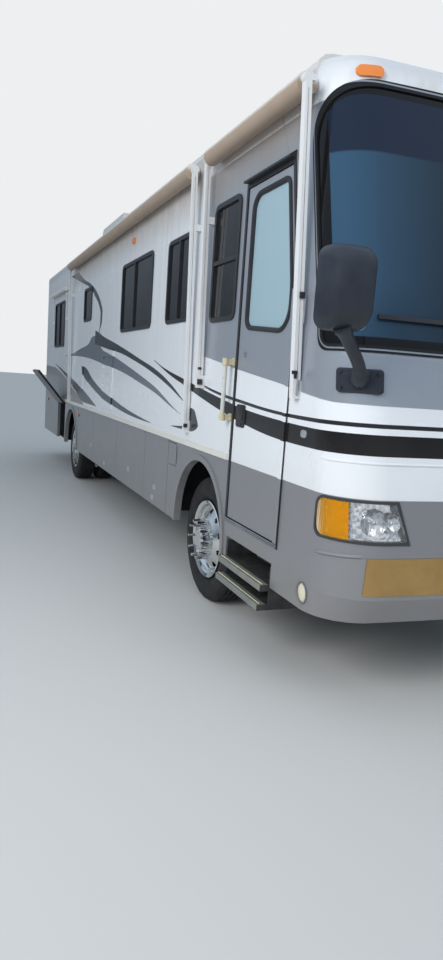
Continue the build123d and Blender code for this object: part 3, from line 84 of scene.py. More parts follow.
# Body paint: white gelcoat with metallic silver above the belt at the front and below the rail,
# and charcoal and grey bands that run level round the nose and sweep up the flanks.
# Distances are metres behind the front axle, heights are above the ground.
FRONT_AXLE = -3.635


class Wire:
    """One socket of a material's tree; arithmetic on it adds Math nodes to the tree."""

    def __init__(self, finish, socket):
        self.finish, self.socket = finish, socket

    def math(self, operation, *others):
        made = self.finish.node("ShaderNodeMath", {"operation": operation},
                                **{f"i{n}": v for n, v in enumerate((self, *others))})
        return self.finish.wire(made)

    def __add__(self, other):
        return self.math("ADD", other)

    def __sub__(self, other):
        return self.math("SUBTRACT", other)

    def __mul__(self, other):
        return self.math("MULTIPLY", other)

    def __rsub__(self, other):
        return (self * -1.0).math("ADD", other)

    __radd__, __rmul__ = __add__, __mul__

    def sin(self):
        return self.math("SINE")

    def abs(self):
        return self.math("ABSOLUTE")

    def low(self, other):
        return self.math("MINIMUM", other)

    def high(self, other):
        return self.math("MAXIMUM", other)

    def over(self, edge, soft=0.002):
        """1 where the value is over the edge and 0 where it is under, with a short ramp between."""
        ramp = (self - edge) * (1.0 / soft) + 0.5
        return ramp.high(0.0).low(1.0)

    def under(self, edge, soft=0.002):
        return 1.0 - self.over(edge, soft)


class Finish:
    """A material being made: one shader, and nodes added by type, settings and socket values."""

    def __init__(self, name, color=(0.8, 0.8, 0.8), roughness=0.5, metallic=0.0, **fixed):
        self.material = bpy.data.materials.new(name)
        self.material.use_nodes = True
        self.tree = self.material.node_tree
        self.tree.nodes.clear()
        out = self.tree.nodes.new("ShaderNodeOutputMaterial")
        self.shader = self.tree.nodes.new("ShaderNodeBsdfPrincipled")
        self.tree.links.new(self.shader.outputs[0], out.inputs[0])
        self.set(base_color=(*color, 1.0), roughness=roughness, metallic=metallic, **fixed)

    def plug(self, socket, value):
        if isinstance(value, Wire):
            self.tree.links.new(value.socket, socket)
        elif value is not None:
            socket.default_value = value

    def set(self, **values):
        """Values or links for the shader's sockets, whose names are written with underscores."""
        for key, value in values.items():
            socket = key.replace("_", " ").title().replace("Ior", "IOR")
            self.plug(self.shader.inputs[socket], value)

    def node(self, kind, settings=None, **inputs):
        """A node with its settings or stops, then values or links for its sockets, by name or as i0, i1."""
        made = self.tree.nodes.new(kind)
        for key, value in (settings or {}).items():
            if key == "stops":
                for stop, (position, color) in zip(made.color_ramp.elements, value):
                    stop.position, stop.color = position, (*color, 1.0)
            else:
                setattr(made, key, value)
        for key, value in inputs.items():
            index = int(key[1:]) if key[0] == "i" and key[1:].isdigit() else key.replace("_", " ").title()
            self.plug(made.inputs[index], value)
        return made

    def wire(self, node, output=0):
        return Wire(self, node.outputs[output])

    def spot(self):
        """Object coordinates as one vector; they are the frame that all the pieces share."""
        return self.wire(self.node("ShaderNodeTexCoord"), "Object")

    def place(self):
        """Object coordinates as one vector and as x, y, z."""
        spot = self.spot()
        axes = self.node("ShaderNodeSeparateXYZ", i0=spot)
        return spot, *[self.wire(axes, n) for n in range(3)]

    def stretch(self, spot, scale):
        return self.wire(self.node("ShaderNodeMapping", i0=spot, scale=scale))

    def noise(self, spot, scale, detail=3.0, roughness=0.55):
        return self.wire(self.node("ShaderNodeTexNoise", vector=spot, scale=scale, detail=detail,
                                   roughness=roughness))

    def mix(self, share, first, second):
        """Colour mixed by share, 0 giving the first."""
        made = self.node("ShaderNodeMix", {"data_type": "RGBA"})
        self.plug(made.inputs[0], share)
        for index, value in ((6, first), (7, second)):
            self.plug(made.inputs[index], value if isinstance(value, Wire) else (*value, 1.0))
        return self.wire(made, 2)

    def bump(self, height, strength=0.3, distance=0.001):
        self.set(normal=self.wire(self.node("ShaderNodeBump", strength=strength, distance=distance,
                                            height=height)))

    def curve(self, along, points, smooth=False):
        """A height that follows the points (distance, height) as the distance goes along."""
        xs, zs = np.array(points).T
        low, tall = zs.min() - 0.01, np.ptp(zs) + 0.02
        made = self.node("ShaderNodeFloatCurve")
        line = made.mapping.curves[0]
        made.mapping.extend = "HORIZONTAL"
        for _ in range(len(xs) - 2):
            line.points.new(0.5, 0.5)
        order = np.argsort(xs)
        for knot, n in zip(line.points, order):
            knot.location = ((xs[n] - xs.min()) / np.ptp(xs), (zs[n] - low) / tall)
            knot.handle_type = "AUTO_CLAMPED" if smooth else "VECTOR"
        made.mapping.update()
        t = (along - float(xs.min())) * (1.0 / float(np.ptp(xs)))
        self.plug(made.inputs["Value"], t.high(0.0).low(1.0))
        return self.wire(made) * float(tall) + float(low)

    def between(self, along, height, start, end, lower, upper):
        """1 inside the band between two curves of height, from start to end along."""
        inside = height.under(self.curve(along, upper, True)) * height.over(self.curve(along, lower, True))
        return inside * along.over(start) * along.under(end)


WHITE = (0.76, 0.775, 0.80)
CROWN_WHITE = (0.60, 0.61, 0.63)
CROWN_HEIGHT = 3.34
SILVER_UP = (0.39, 0.42, 0.47)
SILVER_LOW = (0.31, 0.31, 0.33)
CHARCOAL = (0.022, 0.031, 0.044)
BLACK_BAND = (0.006, 0.006, 0.008)
THIN_BAND = (0.018, 0.018, 0.022)
MID_GREY = (0.135, 0.16, 0.195)
SEAM_GREY = (0.3, 0.3, 0.3)
DIRT = (0.33, 0.27, 0.19)
# tan painted shadow on the kerb wall under the rolled awnings
AWNING_SHADE_TAN = (0.42, 0.33, 0.25)

# upper silver: from the belt curve up, on the nose and the cab
BELT = [(-2.2, 1.647), (-1.85, 1.655), (-1.6, 1.685), (-1.347, 1.722), (-0.646, 1.8), (-0.365, 1.838),
        (0.037, 1.889), (0.25, 1.915)]
UPPER_REAR, UPPER_TOP = 0.18, 3.21
# lower silver: under the rub rail, and up to a curve behind the rear wheel
RAIL_HEIGHT, TAIL_START = 1.183, 5.12
TAIL_TOP = [(5.11, 1.252), (5.85, 1.39), (6.68, 1.56), (8.01, 1.735), (9.29, 1.771), (9.6, 1.772)]
# bands, each between two curves of (distance, height) from its start to its end
THIN_STRIPE = {
    "start": -3.0, "end": 0.12,
    "lower": [(-2.2, 1.54), (-1.85, 1.54), (-1.353, 1.546), (-0.686, 1.585), (-0.366, 1.612),
              (-0.004, 1.66), (0.12, 1.688)],
    "upper": [(-2.2, 1.562), (-1.85, 1.562), (-1.35, 1.566), (-0.647, 1.609), (-0.366, 1.632),
              (-0.004, 1.675), (0.12, 1.692)]}
THICK_STRIPE = {
    "start": -3.0, "end": 1.45,
    "lower": [(-2.2, 1.4), (-1.85, 1.4), (-1.339, 1.405), (-0.797, 1.449), (-0.369, 1.508),
              (0.093, 1.584), (0.5, 1.66), (0.91, 1.735), (1.45, 1.862)],
    "upper": [(-2.2, 1.507), (-1.85, 1.507), (-1.345, 1.516), (-0.779, 1.548), (-0.373, 1.593),
              (-0.011, 1.638), (0.51, 1.711), (1.07, 1.79), (1.45, 1.868)]}
GREY_SWEEP = {
    "start": 0.56, "end": 6.98,
    "lower": [(0.56, 1.417), (0.86, 1.468), (1.36, 1.56), (1.93, 1.636), (2.85, 1.744), (3.88, 1.824),
              (4.86, 1.896), (5.96, 1.93), (6.98, 1.934)],
    "upper": [(0.56, 1.421), (0.74, 1.458), (1.02, 1.53), (1.37, 1.615), (1.95, 1.716), (2.62, 1.823),
              (3.31, 1.926), (3.91, 2.006), (4.48, 2.187), (4.9, 2.083), (5.54, 2.03), (6.26, 1.963),
              (6.98, 1.938)]}
WEDGE = {
    "start": 0.48, "end": 4.4,
    "lower": [(0.48, 1.522), (0.59, 1.552), (1.05, 1.662), (1.57, 1.762), (2.18, 1.856), (2.89, 1.946),
              (3.73, 2.015), (4.4, 2.079)],
    "upper": [(0.48, 1.53), (0.9, 1.667), (1.4, 1.783), (1.98, 1.877), (2.51, 1.963), (3.17, 2.064),
              (3.89, 2.168), (4.12, 2.213), (4.4, 2.26)]}
MIDDLE_SWEEP = {
    "start": 1.44, "end": 5.31,
    "lower": [(1.44, 1.268), (1.86, 1.27), (2.51, 1.291), (3.19, 1.338), (3.92, 1.41), (4.63, 1.527),
              (5.2, 1.653), (5.31, 1.776)],
    "upper": [(1.44, 1.272), (1.86, 1.296), (2.52, 1.345), (3.2, 1.42), (3.94, 1.512), (4.51, 1.626),
              (5.07, 1.769), (5.31, 1.783)]}
TAIL_SWEEP = {
    "start": 4.15, "end": 8.16,
    "lower": [(4.15, 1.262), (5.12, 1.267), (5.85, 1.411), (6.68, 1.575), (8.16, 1.812)],
    "upper": [(4.15, 1.268), (4.99, 1.416), (5.88, 1.548), (7.15, 1.7), (8.16, 1.817)]}
TEAR = {
    "start": 0.1, "end": 0.8,
    "lower": [(0.1, 1.355), (0.16, 1.323), (0.28, 1.3), (0.8, 1.298)],
    "upper": [(0.1, 1.362), (0.13, 1.404), (0.29, 1.487), (0.4, 1.35), (0.8, 1.302)]}
# the hook rises from the wedge, so its curves are (height, distance)
HOOK = {
    "start": 2.079, "end": 3.185,
    "lower": [(2.079, 4.02), (2.213, 4.12), (2.346, 3.99), (2.471, 3.98), (2.592, 4.1), (2.756, 4.4),
              (2.904, 4.85), (3.031, 5.42), (3.182, 5.88)],
    "upper": [(2.079, 4.39), (2.191, 4.21), (2.314, 4.11), (2.441, 4.1), (2.576, 4.23), (2.715, 4.53),
              (2.828, 4.8), (3.0, 5.6), (3.179, 6.53)]}
SWEEPS_END = 9.44
# seams: one upright behind the rear wheel, one where the cap meets the wall, leaning back as it rises
WALL_SEAM, WALL_SEAM_HALF = 6.137, 0.0035
CAP_SEAM, CAP_SEAM_HEIGHT, CAP_SEAM_LEAN, CAP_SEAM_HALF, CAP_SEAM_FOOT = -1.155, 3.042, 0.54, 0.004, 2.99
# pressed lines of the nose: the bumper's upper ledge and the crease above the headlamps
LEDGE = [(-2.2, 0.885), (-1.95, 0.885), (-1.83, 0.87)]
NOSE_END, CREASE, CREASE_HALF = -1.83, 1.363, 0.006
# the two rolled awnings, under which a shadow is painted in tan on the wall
AWNING_SHADE_FRONT, AWNING_SHADE_REAR, AWNING_SHADE_LOW, AWNING_SHADE_TOP = -1.42, 6.25, 3.03, 3.40


def body_paint(name):
    """Painted gelcoat: masks for silver, stripes, sweeps and seams are laid over white one after another."""
    paint = Finish(name, coat_weight=0.22, coat_roughness=0.08, specular_ior_level=0.3)
    spot, x, y, z = paint.place()
    d = y - FRONT_AXLE
    upper = z.over(paint.curve(d, BELT)) * d.under(UPPER_REAR) * z.under(UPPER_TOP)
    lower = z.under(RAIL_HEIGHT).high(z.under(paint.curve(d, TAIL_TOP)) * d.over(TAIL_START))
    thin = paint.between(d, z, **THIN_STRIPE)
    thick = paint.between(d, z, **THICK_STRIPE)
    sides = d.under(SWEEPS_END)
    grey = paint.between(d, z, **GREY_SWEEP) * sides
    dark = paint.between(z, d, **HOOK)
    for sweep in (WEDGE, MIDDLE_SWEEP, TAIL_SWEEP, TEAR):
        dark = dark.high(paint.between(d, z, **sweep))
    dark = dark * sides
    cap_seam = (d - CAP_SEAM - (z - CAP_SEAM_HEIGHT) * CAP_SEAM_LEAN).abs().under(CAP_SEAM_HALF)
    wall_seam = (d - WALL_SEAM).abs().under(WALL_SEAM_HALF) * z.over(RAIL_HEIGHT)
    seam = wall_seam.high(cap_seam * z.over(CAP_SEAM_FOOT))
    # greyer on the crown, which looks up at the sky
    color = paint.mix(z.over(CROWN_HEIGHT, 0.12), paint.mix(upper, WHITE, SILVER_UP), CROWN_WHITE)
    for mask, shade in ((lower, SILVER_LOW), (grey, MID_GREY), (dark, CHARCOAL), (thin, THIN_BAND),
                        (thick, BLACK_BAND), (seam, SEAM_GREY)):
        color = paint.mix(mask, color, shade)
    # road film low down, and rain streaks that run down from the awning
    film = paint.noise(spot, 5.0, 5.0) * z.under(1.1, 1.0) * 0.35
    streak = paint.noise(paint.stretch(spot, (14.0, 14.0, 0.35)), 1.0, 4.0)
    streak = streak.over(0.56, 0.18) * z.over(2.2, 1.4) * z.under(3.36, 0.05) * 0.16
    color = paint.mix(film.high(streak).low(0.5), color, DIRT)
    # painted shadow in tan under the rolled awnings on the kerb wall, in blotches
    stain_and_shade = z.over(AWNING_SHADE_LOW, 0.22) * z.under(AWNING_SHADE_TOP, 0.04) * x.under(-1.2)
    stain_and_shade = stain_and_shade * d.over(AWNING_SHADE_FRONT) * d.under(AWNING_SHADE_REAR) * (0.25 + paint.noise(spot, 6.0) * 0.5)
    color = paint.mix(stain_and_shade, color, AWNING_SHADE_TAN)
    metal = upper.high(lower) * (1.0 - thin.high(thick).high(dark).high(grey)) * 0.5
    grain = paint.noise(spot, 3000.0, 1.0)
    ripple = paint.noise(spot, 2.2, 2.0)
    nose_only = d.under(NOSE_END, 0.02)
    step = z.over(paint.curve(d, LEDGE), 0.03) * nose_only * 0.5
    crease = (z - CREASE).abs().under(CREASE_HALF, 0.01) * nose_only * 0.35
    paint.set(base_color=color, metallic=metal,
              roughness=metal * 0.2 + film * 0.4 + paint.noise(spot, 3.0) * 0.05 + 0.24)
    paint.bump(ripple + metal * grain * 0.0015 + step - crease, 0.4, 0.006)
    return paint.material


PAINT = body_paint("body_paint")


def wear(node, *materials):
    """Puts materials on a CAD node."""
    mesh = nodes[node].data
    mesh.materials.clear()
    for material in materials:
        mesh.materials.append(material)


for name in ("front_cap", "side_wall_kerb", "side_wall_driver", "skirts", "rear_cap", "fuel_door",
             "entry_door", "engine_door", "side_vents", *[n for n in nodes if n.startswith("bay_door_")]):
    wear(name, PAINT)


# Tail bay doors: they stand swung up on their hinges; silver outside like the other bay doors. Inside and
# round the edge they are black, which is painted shade under the raised door.
HINGE_OUT, HINGE_HEIGHT, STANDS_OPEN, OUTER_SHEET = 1.2875, 1.1777, math.radians(140.0), 0.008


def open_door_paint():
    """Two colours by depth under the door's outer face, which is turned about its hinge by STANDS_OPEN."""
    sheet = Finish("tail_bay_door", coat_weight=0.2, coat_roughness=0.1, specular_ior_level=0.3)
    spot, x, y, z = sheet.place()
    depth = (HINGE_OUT - x.abs()) * math.cos(STANDS_OPEN) - (z - HINGE_HEIGHT) * math.sin(STANDS_OPEN)
    outside = depth.under(OUTER_SHEET)
    film = sheet.noise(spot, 5.0, 5.0)
    silver = sheet.mix(film * 0.3, SILVER_LOW, DIRT)
    # painted shade: the door's inside and edges, which face down under the raised door, are near black
    black = sheet.mix(film * 0.3, (0.012, 0.013, 0.016), (0.05, 0.045, 0.04))
    sheet.set(base_color=sheet.mix(outside, black, silver), metallic=outside * 0.5,
              roughness=film * 0.2 + 0.3)
    sheet.bump(film, 0.2, 0.002)
    return sheet.material


for side in ("kerb", "driver"):
    wear(f"bay_door_{side}_5", open_door_paint())


# Roof: white glass-fibre skin with the air conditioners' shells and the vent covers on it, all chalked
# by the sun, with a film of dust that gathers on the level parts.
DUST = (0.50, 0.46, 0.40)
ROOF_WHITE = (0.64, 0.64, 0.63)


def chalky(name, color, dust=0.35):
    """Weathered paint: clouds of dust over the colour, and a fine tooth."""
    gelcoat = Finish(name)
    spot = gelcoat.spot()
    cloud = gelcoat.noise(spot, 3.5, 6.0)
    fine = gelcoat.noise(spot, 90.0, 3.0)
    gelcoat.set(base_color=gelcoat.mix(cloud.over(0.5, 0.5) * dust, color, DUST),
                roughness=fine * 0.2 + 0.38)
    gelcoat.bump(fine, 0.15, 0.0008)
    return gelcoat.material


for name in ("roof", "roof_units"):
    wear(name, chalky(name, ROOF_WHITE))


# Black trim: satin plastic and aluminium frames round the windows and the door, the rubber seals of
# the windscreen and the lamps, and the mirror shells, all with a fine moulded grain.
def grained(name, color, roughness=0.42, grain=400.0, depth=0.3, metallic=0.0):
    """Moulded or cast surface: faint paler clouds in the colour and a fine grain that stands up."""
    shell = Finish(name, metallic=metallic)
    spot = shell.spot()
    fine = shell.noise(spot, grain, 2.0)
    cloud = shell.noise(spot, 7.0, 4.0)
    pale = tuple(min(1.0, v * 1.6 + 0.015) for v in color)
    shell.set(base_color=shell.mix(cloud.over(0.5, 0.6), color, pale),
              roughness=cloud * 0.2 + (roughness - 0.1))
    shell.bump(fine, depth, 0.0005)
    return shell.material


BLACK = grained("black_trim", (0.012, 0.012, 0.014))
RUBBER = grained("rubber_seal", (0.014, 0.014, 0.016), 0.55, 250.0)
wear("window_and_door_frames", BLACK)
wear("wipers", BLACK)

# Windscreen: one piece of laminated glass, blue with a darker shade band along its head, printed black
# round the edge where it is bonded, in a rubber gasket. A painted sky reflection makes it bluer at the sides.
SCREEN_SILL, SCREEN_HEAD, SCREEN_FOOT, SCREEN_RAKE = 1.915, 3.298, -1.703, 0.2297
SILL_CORNER, HEAD_CORNER = 0.085, 0.26
SHADE_BAND, PRINT_WIDE, PRINT_WIDE_REAR = 2.93, 0.078, 0.108
# depths of the painted highlight inside the gasket
HIGHLIGHT_FROM, HIGHLIGHT_TO = 0.011, 0.019
SCREEN_BLUE, SCREEN_MIDDLE, SHADE_BLUE = (0.040, 0.105, 0.185), (0.010, 0.018, 0.028), (0.010, 0.018, 0.040)
LAMP_BEAD_TOP = 1.5


def from_edge(d, z):
    """How far a place on the nose lies inside the windscreen's opening, and inside its rear edge.

    Seen from the side the opening has a leaning rear edge and round corners at the sill and at the head.
    """
    rear = ((z - SCREEN_SILL) * SCREEN_RAKE + SCREEN_FOOT - d) * (1.0 / math.hypot(1.0, SCREEN_RAKE))
    nearest = []
    for height, radius in ((z - SCREEN_SILL, SILL_CORNER), (SCREEN_HEAD - z, HEAD_CORNER)):
        side = (radius - rear).high(0.0)
        level = (radius - height).high(0.0)
        corner = radius - (side * side + level * level).math("SQRT")
        nearest.append(corner.low(height.high(radius)).low(rear.high(radius)))
    return nearest[0].low(nearest[1]), rear


def tinted(name, color, see_through):
    """Glass with a faint smear on it, which greys the tint and roughens the surface a little."""
    pane = Finish(name, color, transmission_weight=see_through, ior=1.45, specular_ior_level=0.3)
    smear = pane.noise(pane.spot(), 6.0, 4.0)
    pane.set(base_color=pane.mix(smear * 0.06, color, (0.35, 0.37, 0.38)), roughness=smear * 0.04)
    return pane


def screen_glass():
    """Blue glass with a painted sky reflection that darkens it to the middle, darker above the shade band,
    with the black print along its edge.
    """
    pane = tinted("windscreen_glass", SCREEN_BLUE, 0.12)
    spot, x, y, z = pane.place()
    inside, rear = from_edge(y - FRONT_AXLE, z)
    # painted sky reflection: bluer at the sides, darker towards the middle
    painted_sky_reflection = pane.mix(x.abs().under(1.0, 0.9), SCREEN_BLUE, SCREEN_MIDDLE)
    blue = pane.mix(z.over(SHADE_BAND, 0.012), painted_sky_reflection, SHADE_BLUE)
    printed = inside.under(PRINT_WIDE, 0.004).high(rear.under(PRINT_WIDE_REAR, 0.004))
    pane.set(base_color=pane.mix(printed, blue, (0.006, 0.006, 0.007)))
    return pane.material


def gasket():
    """Black rubber with fine ribs along the opening's edge, and a painted highlight: a bright strip at a set
    depth inside it.
    """
    rubber = Finish("windscreen_gasket", specular_ior_level=0.25)
    spot, x, y, z = rubber.place()
    inside = from_edge(y - FRONT_AXLE, z)[0]
    # painted highlight: a bright band along the gasket's inner edge, above the lamps
    painted_highlight = inside.over(HIGHLIGHT_FROM) * inside.under(HIGHLIGHT_TO) * z.over(LAMP_BEAD_TOP)
    cloud = rubber.noise(spot, 7.0, 4.0)
    black = rubber.mix(cloud * 0.5, (0.010, 0.010, 0.011), (0.022, 0.022, 0.024))
    ring = rubber.mix(painted_highlight, black, (0.42, 0.44, 0.47))
    rubber.set(base_color=rubber.mix(z.under(LAMP_BEAD_TOP), ring, (0.05, 0.05, 0.052)),
               metallic=painted_highlight * 0.8, roughness=cloud * 0.2 + 0.35)
    rubber.bump((inside * 330.0).sin() * 0.5 + cloud * 0.1, 0.4, 0.002)
    return rubber.material


wear("windscreen", screen_glass())
wear("front_seals", gasket())

# Side windows: tempered panes in the black frames, so deeply tinted that they look black from outside.
# The entry door's window is a pale green-blue pane, pressed into a rubber ring.
wear("window_glass", tinted("window_glass", (0.006, 0.007, 0.009), 0.04).material)
wear("entry_door_glass", tinted("door_glass", (0.42, 0.58, 0.65), 0.25).material)

# Headlamps: a clear moulded lens over a bright housing with two reflector bowls, with an amber lens for
# the turn signal wrapped round the corner. Each stands in a black rubber bead in the nose.
NOSE_HEIGHTS, NOSE_FRONTS = np.array([
    (0.518, -2.055), (0.665, -2.135), (0.905, -2.150), (1.193, -2.112), (1.360, -2.085), (1.900, -2.010),
    (3.330, -1.705)]).T
BOW, CORNER, HALF, BOW_REACH = 13.0, 0.285, 1.2825, 0.99
TURN_IN = math.asin((HALF - CORNER) / (BOW - CORNER))


def nose(u, z, lift=0.0):
    """Point on the nose's skin: u runs along its plan outline from the centre line, lift is off the skin.

    The outline is an arc of radius BOW for an angle t = u / BOW up to TURN_IN, then an arc of radius CORNER
    for a further angle c, then straight: x = (BOW - CORNER) sin t + (CORNER + lift) sin(t + c), and y falls
    back from the front by the same sum of cosines.
    """
    u, z, lift = np.broadcast_arrays(np.asarray(u, float), z, lift)
    t = np.minimum(u / BOW, TURN_IN)
    c = np.clip((u - BOW * TURN_IN) / CORNER, 0.0, math.pi / 2 - TURN_IN)
    flank = np.maximum(u - BOW * TURN_IN - CORNER * (math.pi / 2 - TURN_IN), 0.0)
    x = (BOW - CORNER) * np.sin(t) + (CORNER + lift) * np.sin(t + c)
    back = BOW - (BOW - CORNER) * np.cos(t) - (CORNER + lift) * np.cos(t + c) + flank
    return np.stack([-x, FRONT_AXLE + np.interp(z, NOSE_HEIGHTS, NOSE_FRONTS) + back, z], -1)


def nose_u(d, z):
    """u at which the corner of the nose, at height z, lies at a distance d behind the front axle."""
    middle = np.interp(z, NOSE_HEIGHTS, NOSE_FRONTS) + BOW - (BOW - CORNER) * math.cos(TURN_IN)
    across = np.arccos(np.clip((middle - d) / CORNER, 0.0, 1.0)) - TURN_IN
    return BOW * TURN_IN + CORNER * across + np.maximum(d - middle, 0.0)


def outward(points, faces):
    """The faces, turned round if the volume that they enclose is negative.

    Each face is a fan of triangles a, b, c seen from the middle of the points, and the volume is the sum
    of a . (b x c).
    """
    fan = np.array([(f[0], f[n], f[n + 1]) for f in faces for n in range(1, len(f) - 1)])
    a, b, c = (points - points.mean(0))[fan.T]
    return points, faces if (a * np.cross(b, c)).sum() > 0 else [f[::-1] for f in faces]


def quads(index):
    """Faces between the neighbours in a grid of point numbers."""
    corners = [index[:-1, :-1], index[1:, :-1], index[1:, 1:], index[:-1, 1:]]
    return [tuple(f) for f in np.stack(corners, -1).reshape(-1, 4)]


def skin(points, closed_rows=False, ends=False, looped=False):
    """Faces over a grid of points (rows, columns, 3): quads between neighbours.

    closed_rows joins each row's last point to its first, looped joins the last row to the first, and ends
    closes the first and the last row with one face each.
    """
    points = np.asarray(points, float)
    rows, columns = points.shape[:2]
    i = np.arange(rows if looped else rows - 1)[:, None]
    here, there = i * columns, (i + 1) % rows * columns
    j = np.arange(columns if closed_rows else columns - 1)[None, :]
    k = (j + 1) % columns
    faces = [tuple(f) for f in np.stack([here + j, here + k, there + k, there + j], -1).reshape(-1, 4)]
    if ends:
        faces += [tuple(range(columns - 1, -1, -1)), tuple(range((rows - 1) * columns, rows * columns))]
    return outward(points.reshape(-1, 3), faces)


def mirrored(shape):
    """The same faces on the other side of the vehicle, turned so that they still face outwards."""
    points, faces = shape
    return points * (-1.0, 1.0, 1.0), [f[::-1] for f in faces]


def both(shapes):
    """The shapes, and then their mirrored copies."""
    return [*shapes, *[mirrored(shape) for shape in shapes]]


def form(name, shapes, material, body="chassis", sharp=35.0):
    """One object from several (points, faces) shapes; edges that turn more than sharp stay crisp."""
    points, faces, start = [], [], 0
    for flat, rows in shapes:
        points.append(flat)
        faces += [tuple(start + n for n in row) for row in rows]
        start += len(flat)
    mesh = bpy.data.meshes.new(name)
    mesh.from_pydata(np.concatenate(points).tolist(), [], faces)
    mesh.materials.append(material)
    mesh.shade_smooth()
    mesh.set_sharp_from_angle(angle=math.radians(sharp))
    made = bpy.data.objects.new(name, mesh)
    bpy.context.scene.collection.objects.link(made)
    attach(made, body)
    return made


def turned(profile, centre, axis, count=32, looped=False):
    """A profile of (distance along axis, radius) turned about the axis: capped at its ends, or looped."""
    axis = np.array(axis, float) / np.linalg.norm(axis)
    side = np.cross(axis, (0.0, 0.0, 1.0) if abs(axis[2]) < 0.9 else (0.0, 1.0, 0.0))
    side = side / np.linalg.norm(side)
    other = np.cross(axis, side)
    angle = np.linspace(0.0, 2 * math.pi, count, endpoint=False)
    round_it = np.cos(angle)[:, None] * side + np.sin(angle)[:, None] * other
    rows = [np.array(centre) + along * axis + radius * round_it for along, radius in profile]
    return skin(np.array(rows), closed_rows=True, ends=not looped, looped=looped)


LAMP_LOW, LAMP_MIDDLE, LAMP_TOP, LAMP_REAR, LAMP_CORNER, SQUARE = 0.972, 1.070, 1.164, -1.834, 0.045, 0.0001
LAMP_SPLIT, LAMP_INNER_LOW, LAMP_INNER_TOP = -2.012, 0.901, 0.970
LENS_OUT, LENS_IN, HOUSING_OUT, HOUSING_IN, LAMP_GAP = 0.002, -0.003, -0.034, -0.044, 0.004


def lamp_grid(u_out, u_in_low, u_in_top, lift, radius, columns=28, rows=16):
    """Grid over a part of the lamp, from an outer to an inner end that may lean.

    Its outer corners are arcs: within radius of the outer end the height is cut by radius less the root of
    radius squared less the squared distance past the arc's start.
    """
    s = np.linspace(0.0, 1.0, columns)[:, None]
    t = np.linspace(0.0, 1.0, rows)[None, :]
    u_in = u_in_low + (u_in_top - u_in_low) * t
    u = u_out + (u_in - u_out) * s
    near = np.clip(radius - (u_out - u), 0.0, radius)
    cut = radius - np.sqrt(np.maximum(radius ** 2 - near ** 2, 0.0))
    return nose(u, LAMP_LOW + cut + (LAMP_TOP - LAMP_LOW - 2 * cut) * t, lift)


def lamp_shell(u_out, u_in_low, u_in_top, radius, outer, inner):
    """Closed shell over one part of the lamp: a grid at each lift and the wall that joins their borders."""
    top = lamp_grid(u_out, u_in_low, u_in_top, outer, radius)
    low = lamp_grid(u_out, u_in_low, u_in_top, inner, radius)
    rows, columns = top.shape[:2]
    index = np.arange(rows * columns).reshape(rows, columns)
    edge = np.concatenate([index[0, :-1], index[:-1, -1], index[-1, :0:-1], index[:0:-1, 0]])
    after = np.roll(edge, -1)
    shift = rows * columns
    faces = quads(index) + [f[::-1] for f in quads(index + shift)]
    faces += [(a, b, b + shift, a + shift) for a, b in zip(after, edge)]
    return outward(np.concatenate([top.reshape(-1, 3), low.reshape(-1, 3)]), faces)


u_outer, u_split = (float(nose_u(d, LAMP_MIDDLE)) for d in (LAMP_REAR, LAMP_SPLIT))
u_low, u_top = (BOW * math.asin(v / BOW) for v in (LAMP_INNER_LOW, LAMP_INNER_TOP))
split_out, split_in = u_split + LAMP_GAP, u_split - LAMP_GAP
housing = lamp_shell(u_outer - LAMP_GAP, u_low + LAMP_GAP, u_top + LAMP_GAP, LAMP_CORNER, HOUSING_OUT,
                     HOUSING_IN)
clear_lens = lamp_shell(split_in, u_low, u_top, SQUARE, LENS_OUT, LENS_IN)
amber_lens = lamp_shell(u_outer, split_out, split_out, LAMP_CORNER, LENS_OUT, LENS_IN)
divider = lamp_shell(split_out, split_in, split_in, SQUARE, LENS_OUT, HOUSING_OUT)
BOWL_HEIGHT, BOWL_DEPTH, BOWLS = 1.066, 0.032, ((1.085, 0.070), (0.985, 0.052))
BULB = [(-0.002, 0.004), (-0.002, 0.013), (0.010, 0.013), (0.018, 0.009), (0.021, 0.003)]


def bowl(x, radius):
    """A reflector bowl with a bulb, sunk into the housing: depth grows with the square of the radius."""
    u = BOW * math.asin(min(x, BOW_REACH) / BOW) + max(0.0, x - BOW_REACH)
    spot = nose(u, BOWL_HEIGHT, -BOWL_DEPTH)
    ahead = nose(u, BOWL_HEIGHT, 0.0) - spot
    ahead = ahead / np.linalg.norm(ahead) * (1.0, 1.0, 0.0) + (0.0, -0.3, 0.0)
    ring = [(0.026 * (r / radius) ** 2 - 0.004, r) for r in np.linspace(0.014, radius, 12)]
    back = [(depth - 0.004, r + 0.001) for depth, r in ring[::-1]]
    return turned(ring + back, spot, ahead), turned(BULB, spot, ahead, 20)


def reflector():
    """Plated plastic moulded in small facets, which darken and rise with the distance in their cells."""
    plating = Finish("lamp_reflector", metallic=1.0)
    cells = plating.stretch(plating.spot(), (1.0, 1.0, 0.5))
    level = plating.wire(plating.node("ShaderNodeTexVoronoi", vector=cells, scale=55.0), "Distance")
    plating.set(base_color=plating.mix(level, (0.88, 0.89, 0.91), (0.55, 0.57, 0.60)),
                roughness=level * 0.12 + 0.05)
    plating.bump(level, 0.5, 0.004)
    return plating.material


def clear(name, color, through, ribs=(0.0, 0.0)):
    """Moulded lamp lens: clear or coloured plastic with flutes across or down it."""
    pane = Finish(name, color, 0.04, transmission_weight=through, ior=1.3, specular_ior_level=0.5)
    spot, x, y, z = pane.place()
    haze = pane.noise(spot, 25.0, 4.0)
    pane.set(base_color=pane.mix(haze * 0.2, color, tuple(v * 0.8 for v in color)),
             roughness=haze * 0.05)
    pane.bump((z * ribs[0]).sin() + ((x - y) * ribs[1]).sin(), 0.15, 0.001)
    return pane.material


